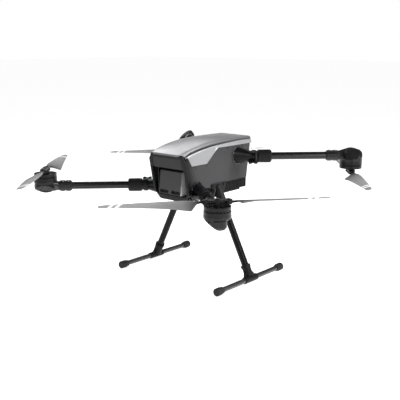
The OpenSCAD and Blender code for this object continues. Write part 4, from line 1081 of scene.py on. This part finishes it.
def build_motor_bolts(arm):
    """The hub's middle web, and screws in the hub and on the blade bolts."""
    place = AT_MOTOR @ Matrix.Rotation(math.radians(BLADE_ANGLE), 4, "Z")
    web = Shape()
    web.box((-23.5, -9, BELL_TOP + 9), (23.5, 9, BELL_TOP + 18), place, 2.0)
    web.finish(f"{arm}_hub_web", "black_metal", f"{arm}_rotor", arm_matrix(arm), 30.0)
    shape = Shape()
    slot_top = BELL_TOP + HUB_GAP + (HUB_BASE + HUB_PLATE) + HUB_SLOT
    for s in (-1, 1):
        bolt = Matrix.Translation((s * BOLT_X, 0, slot_top + 3 + 2.6 - 0.4))
        hex_head(shape, place @ bolt, 4.2, 0.9)
    for k in range(4):
        a = math.pi / 4 + k * math.pi / 2
        spot = Matrix.Translation((12.6 * math.cos(a), 12.6 * math.sin(a), BELL_TOP))
        hex_head(shape, place @ spot, 1.9, 1.4)
    shape.finish(f"{arm}_hub_screws", "steel", f"{arm}_rotor", arm_matrix(arm), 30.0)


# ---------- floor, light and camera

FLOOR_GLOW = 0.72       # what the camera and shiny surfaces see of the floor beyond its own light
WORLD_SOFT = 0.30       # the strength of the studio's even light
GLOSS_CEILING = 0.08    # how bright shiny surfaces see the studio overhead
AIM = (0.0, 0.0, 0.45)  # what the lamps point at


def seen_directly(n):
    """1 for camera, glossy and transmission rays, so that metal shows the background too."""
    path = n.add("ShaderNodeLightPath")
    return n.math("MAXIMUM", path.outputs["Is Camera Ray"],
                  n.math("MAXIMUM", path.outputs["Is Glossy Ray"],
                         path.outputs["Is Transmission Ray"]))


def stage_floor():
    bpy.ops.mesh.primitive_plane_add(size=60.0, location=(0, 0, 0))
    floor = bpy.context.object
    floor.name = "floor"
    n = Nodes("floor_white")
    n.shader.inputs["Roughness"].default_value = 0.9
    n.shader.inputs["Specular IOR Level"].default_value = 0.1
    n.link(n.mix(n.noise(2.0, 2.0), rgb(0.86), rgb(0.88)), n.shader.inputs["Base Color"])
    glow = n.add("ShaderNodeEmission")
    glow.inputs["Color"].default_value = rgb(1.0)
    n.link(n.math("MULTIPLY", seen_directly(n), FLOOR_GLOW), glow.inputs["Strength"])
    both = n.add("ShaderNodeAddShader")
    n.link(n.shader.outputs[0], both.inputs[0])
    n.link(glow.outputs[0], both.inputs[1])
    n.link(both.outputs[0], n.out.inputs["Surface"])
    floor.data.materials.append(n.block)


def stage_world():
    """A white backdrop to look at, and a soft, dimmer studio for the light."""
    n = Nodes("studio", world=True)
    bpy.context.scene.world = n.block
    soft = n.shader
    soft.inputs["Color"].default_value = rgb(1.0)
    soft.inputs["Strength"].default_value = WORLD_SOFT
    white = n.add("ShaderNodeBackground")
    white.inputs["Color"].default_value = rgb(1.0)
    path = n.add("ShaderNodeLightPath")
    # what shiny surfaces see is white near the horizon and dimmer overhead
    height = n.span(n.axis("Z"), 0.02, 0.25, 1.0, GLOSS_CEILING)
    n.link(n.math("MAXIMUM", path.outputs["Is Camera Ray"], height), white.inputs["Strength"])
    mixed = n.add("ShaderNodeMixShader")
    n.link(seen_directly(n), mixed.inputs[0])
    n.link(soft.outputs[0], mixed.inputs[1])
    n.link(white.outputs[0], mixed.inputs[2])
    n.link(mixed.outputs[0], n.out.inputs["Surface"])


def area_light(name, place, size, power):
    data = bpy.data.lights.new(name, "AREA")
    data.shape = "RECTANGLE"
    data.size, data.size_y = size
    data.energy = power
    lamp = new_object(name, data)
    lamp.location = place
    lamp.rotation_euler = (Vector(AIM) - Vector(place)).to_track_quat("-Z", "Y").to_euler()


def stage_camera():
    """The camera that was fitted to the picture."""
    azimuth, elevation = math.radians(40.57), math.radians(12.65)
    data = bpy.data.cameras.new("camera")
    data.sensor_width = 36.0
    data.lens = 63.636
    data.clip_end = 100.0
    camera = new_object("camera", data)
    camera.location = (1.8383, -2.1460, 0.9314)
    camera.rotation_euler = (math.pi / 2 - elevation, 0.0, azimuth)
    bpy.context.scene.camera = camera


bpy.context.scene.view_settings.view_transform = "Standard"
stage_camera()
stage_world()
stage_floor()
area_light("left", (-2.0, 0.6, 2.0), (1.2, 1.2), 20.0)
area_light("back_left", (-1.6, 1.8, 2.4), (1.0, 0.8), 8.0)
area_light("back_right", (1.9, 1.1, 2.0), (1.0, 1.2), 54.0)
area_light("over_nose", (0.4, -2.6, 2.0), (1.2, 1.0), 24.0)
area_light("right", (2.4, -0.6, 1.2), (0.8, 1.2), 18.0)

# ---------- build everything

build_top_cover()
build_nose()
for node, width in (("battery_pack", 1.6), ("battery_handle", 1.2), ("belly_tray", 1.0),
                    ("cooling_grille", 0.5), ("rear_panel", 0.6), ("left_side_panel", 0.5),
                    ("right_side_panel", 0.5)):
    rounded_copy(node, width)

TUBE_X0, TUBE_X1 = PIN_X + EAR_R + 2.0 + 4.0, CLAMP_X + CLAMP_L - 2.0
for arm in ARMS:
    build_mount(arm)
    build_cap(arm)
    build_clamp_screws(arm)
    build_tube(f"{arm}_carbon_tube", "carbon", TUBE_R, TUBE_X1 - TUBE_X0,
               arm_matrix(arm) @ x_axis(TUBE_X0), f"{arm}_arm", f"{arm}_tube")
    build_windings(arm)
    build_motor_bolts(arm)
    for which in (0, 1):
        build_blade(arm, which)
    for piece, width in (("knuckle", 0.7), ("lock_sleeve", 0.6), ("prop_hub", 0.5)):
        rounded_copy(f"{arm}_{piece}", width)
for end in ("front", "rear"):
    for side in ("left", "right"):
        build_root(end, side)

LEG_Y, LEG_UP, LEG_R = 5.0, 30.0, 14.0
SKID_X, SKID_L, SKID_Z, SKID_R = 258.0, 428.0, 15.5, 10.0
SKID_END = 4.0              # how far the skid tube stops short of its cap's end
LEG_START = 12.3            # from the leg's axis at the belly to the tube's upper end
LEG_STOP = SKID_R + 4.6     # from the skid's axis to the tube's lower end
LEG_DX, LEG_DZ = SKID_X - HALF_W, BELLY + LEG_UP - SKID_Z
LEG_LEN = math.hypot(LEG_DX, LEG_DZ)
LEG_LEAN = math.atan2(LEG_DX, LEG_DZ)
for side, name in ((1, "left"), (-1, "right")):
    leg = Matrix.Scale(side, 4, (1, 0, 0)) @ Matrix.Translation((HALF_W, LEG_Y, BELLY + LEG_UP))
    leg = leg @ Matrix.Rotation(math.pi - LEG_LEAN, 4, "Y") @ Matrix.Translation((0, 0, LEG_START))
    build_tube(f"{name}_leg_carbon", "leg_carbon", LEG_R, LEG_LEN - LEG_START - LEG_STOP, leg,
               "airframe", "leg_tubes")
    skid = Matrix.Translation((side * SKID_X, LEG_Y - SKID_L / 2 + SKID_END, SKID_Z))
    skid = skid @ Matrix.Rotation(-math.pi / 2, 4, "X")
    build_tube(f"{name}_skid_carbon", "skid_carbon", SKID_R, SKID_L - 2 * SKID_END, skid,
               "airframe", "skid_tubes", 64)
for node in ("leg_brackets", "skid_joints"):
    rounded_copy(node, 0.8)
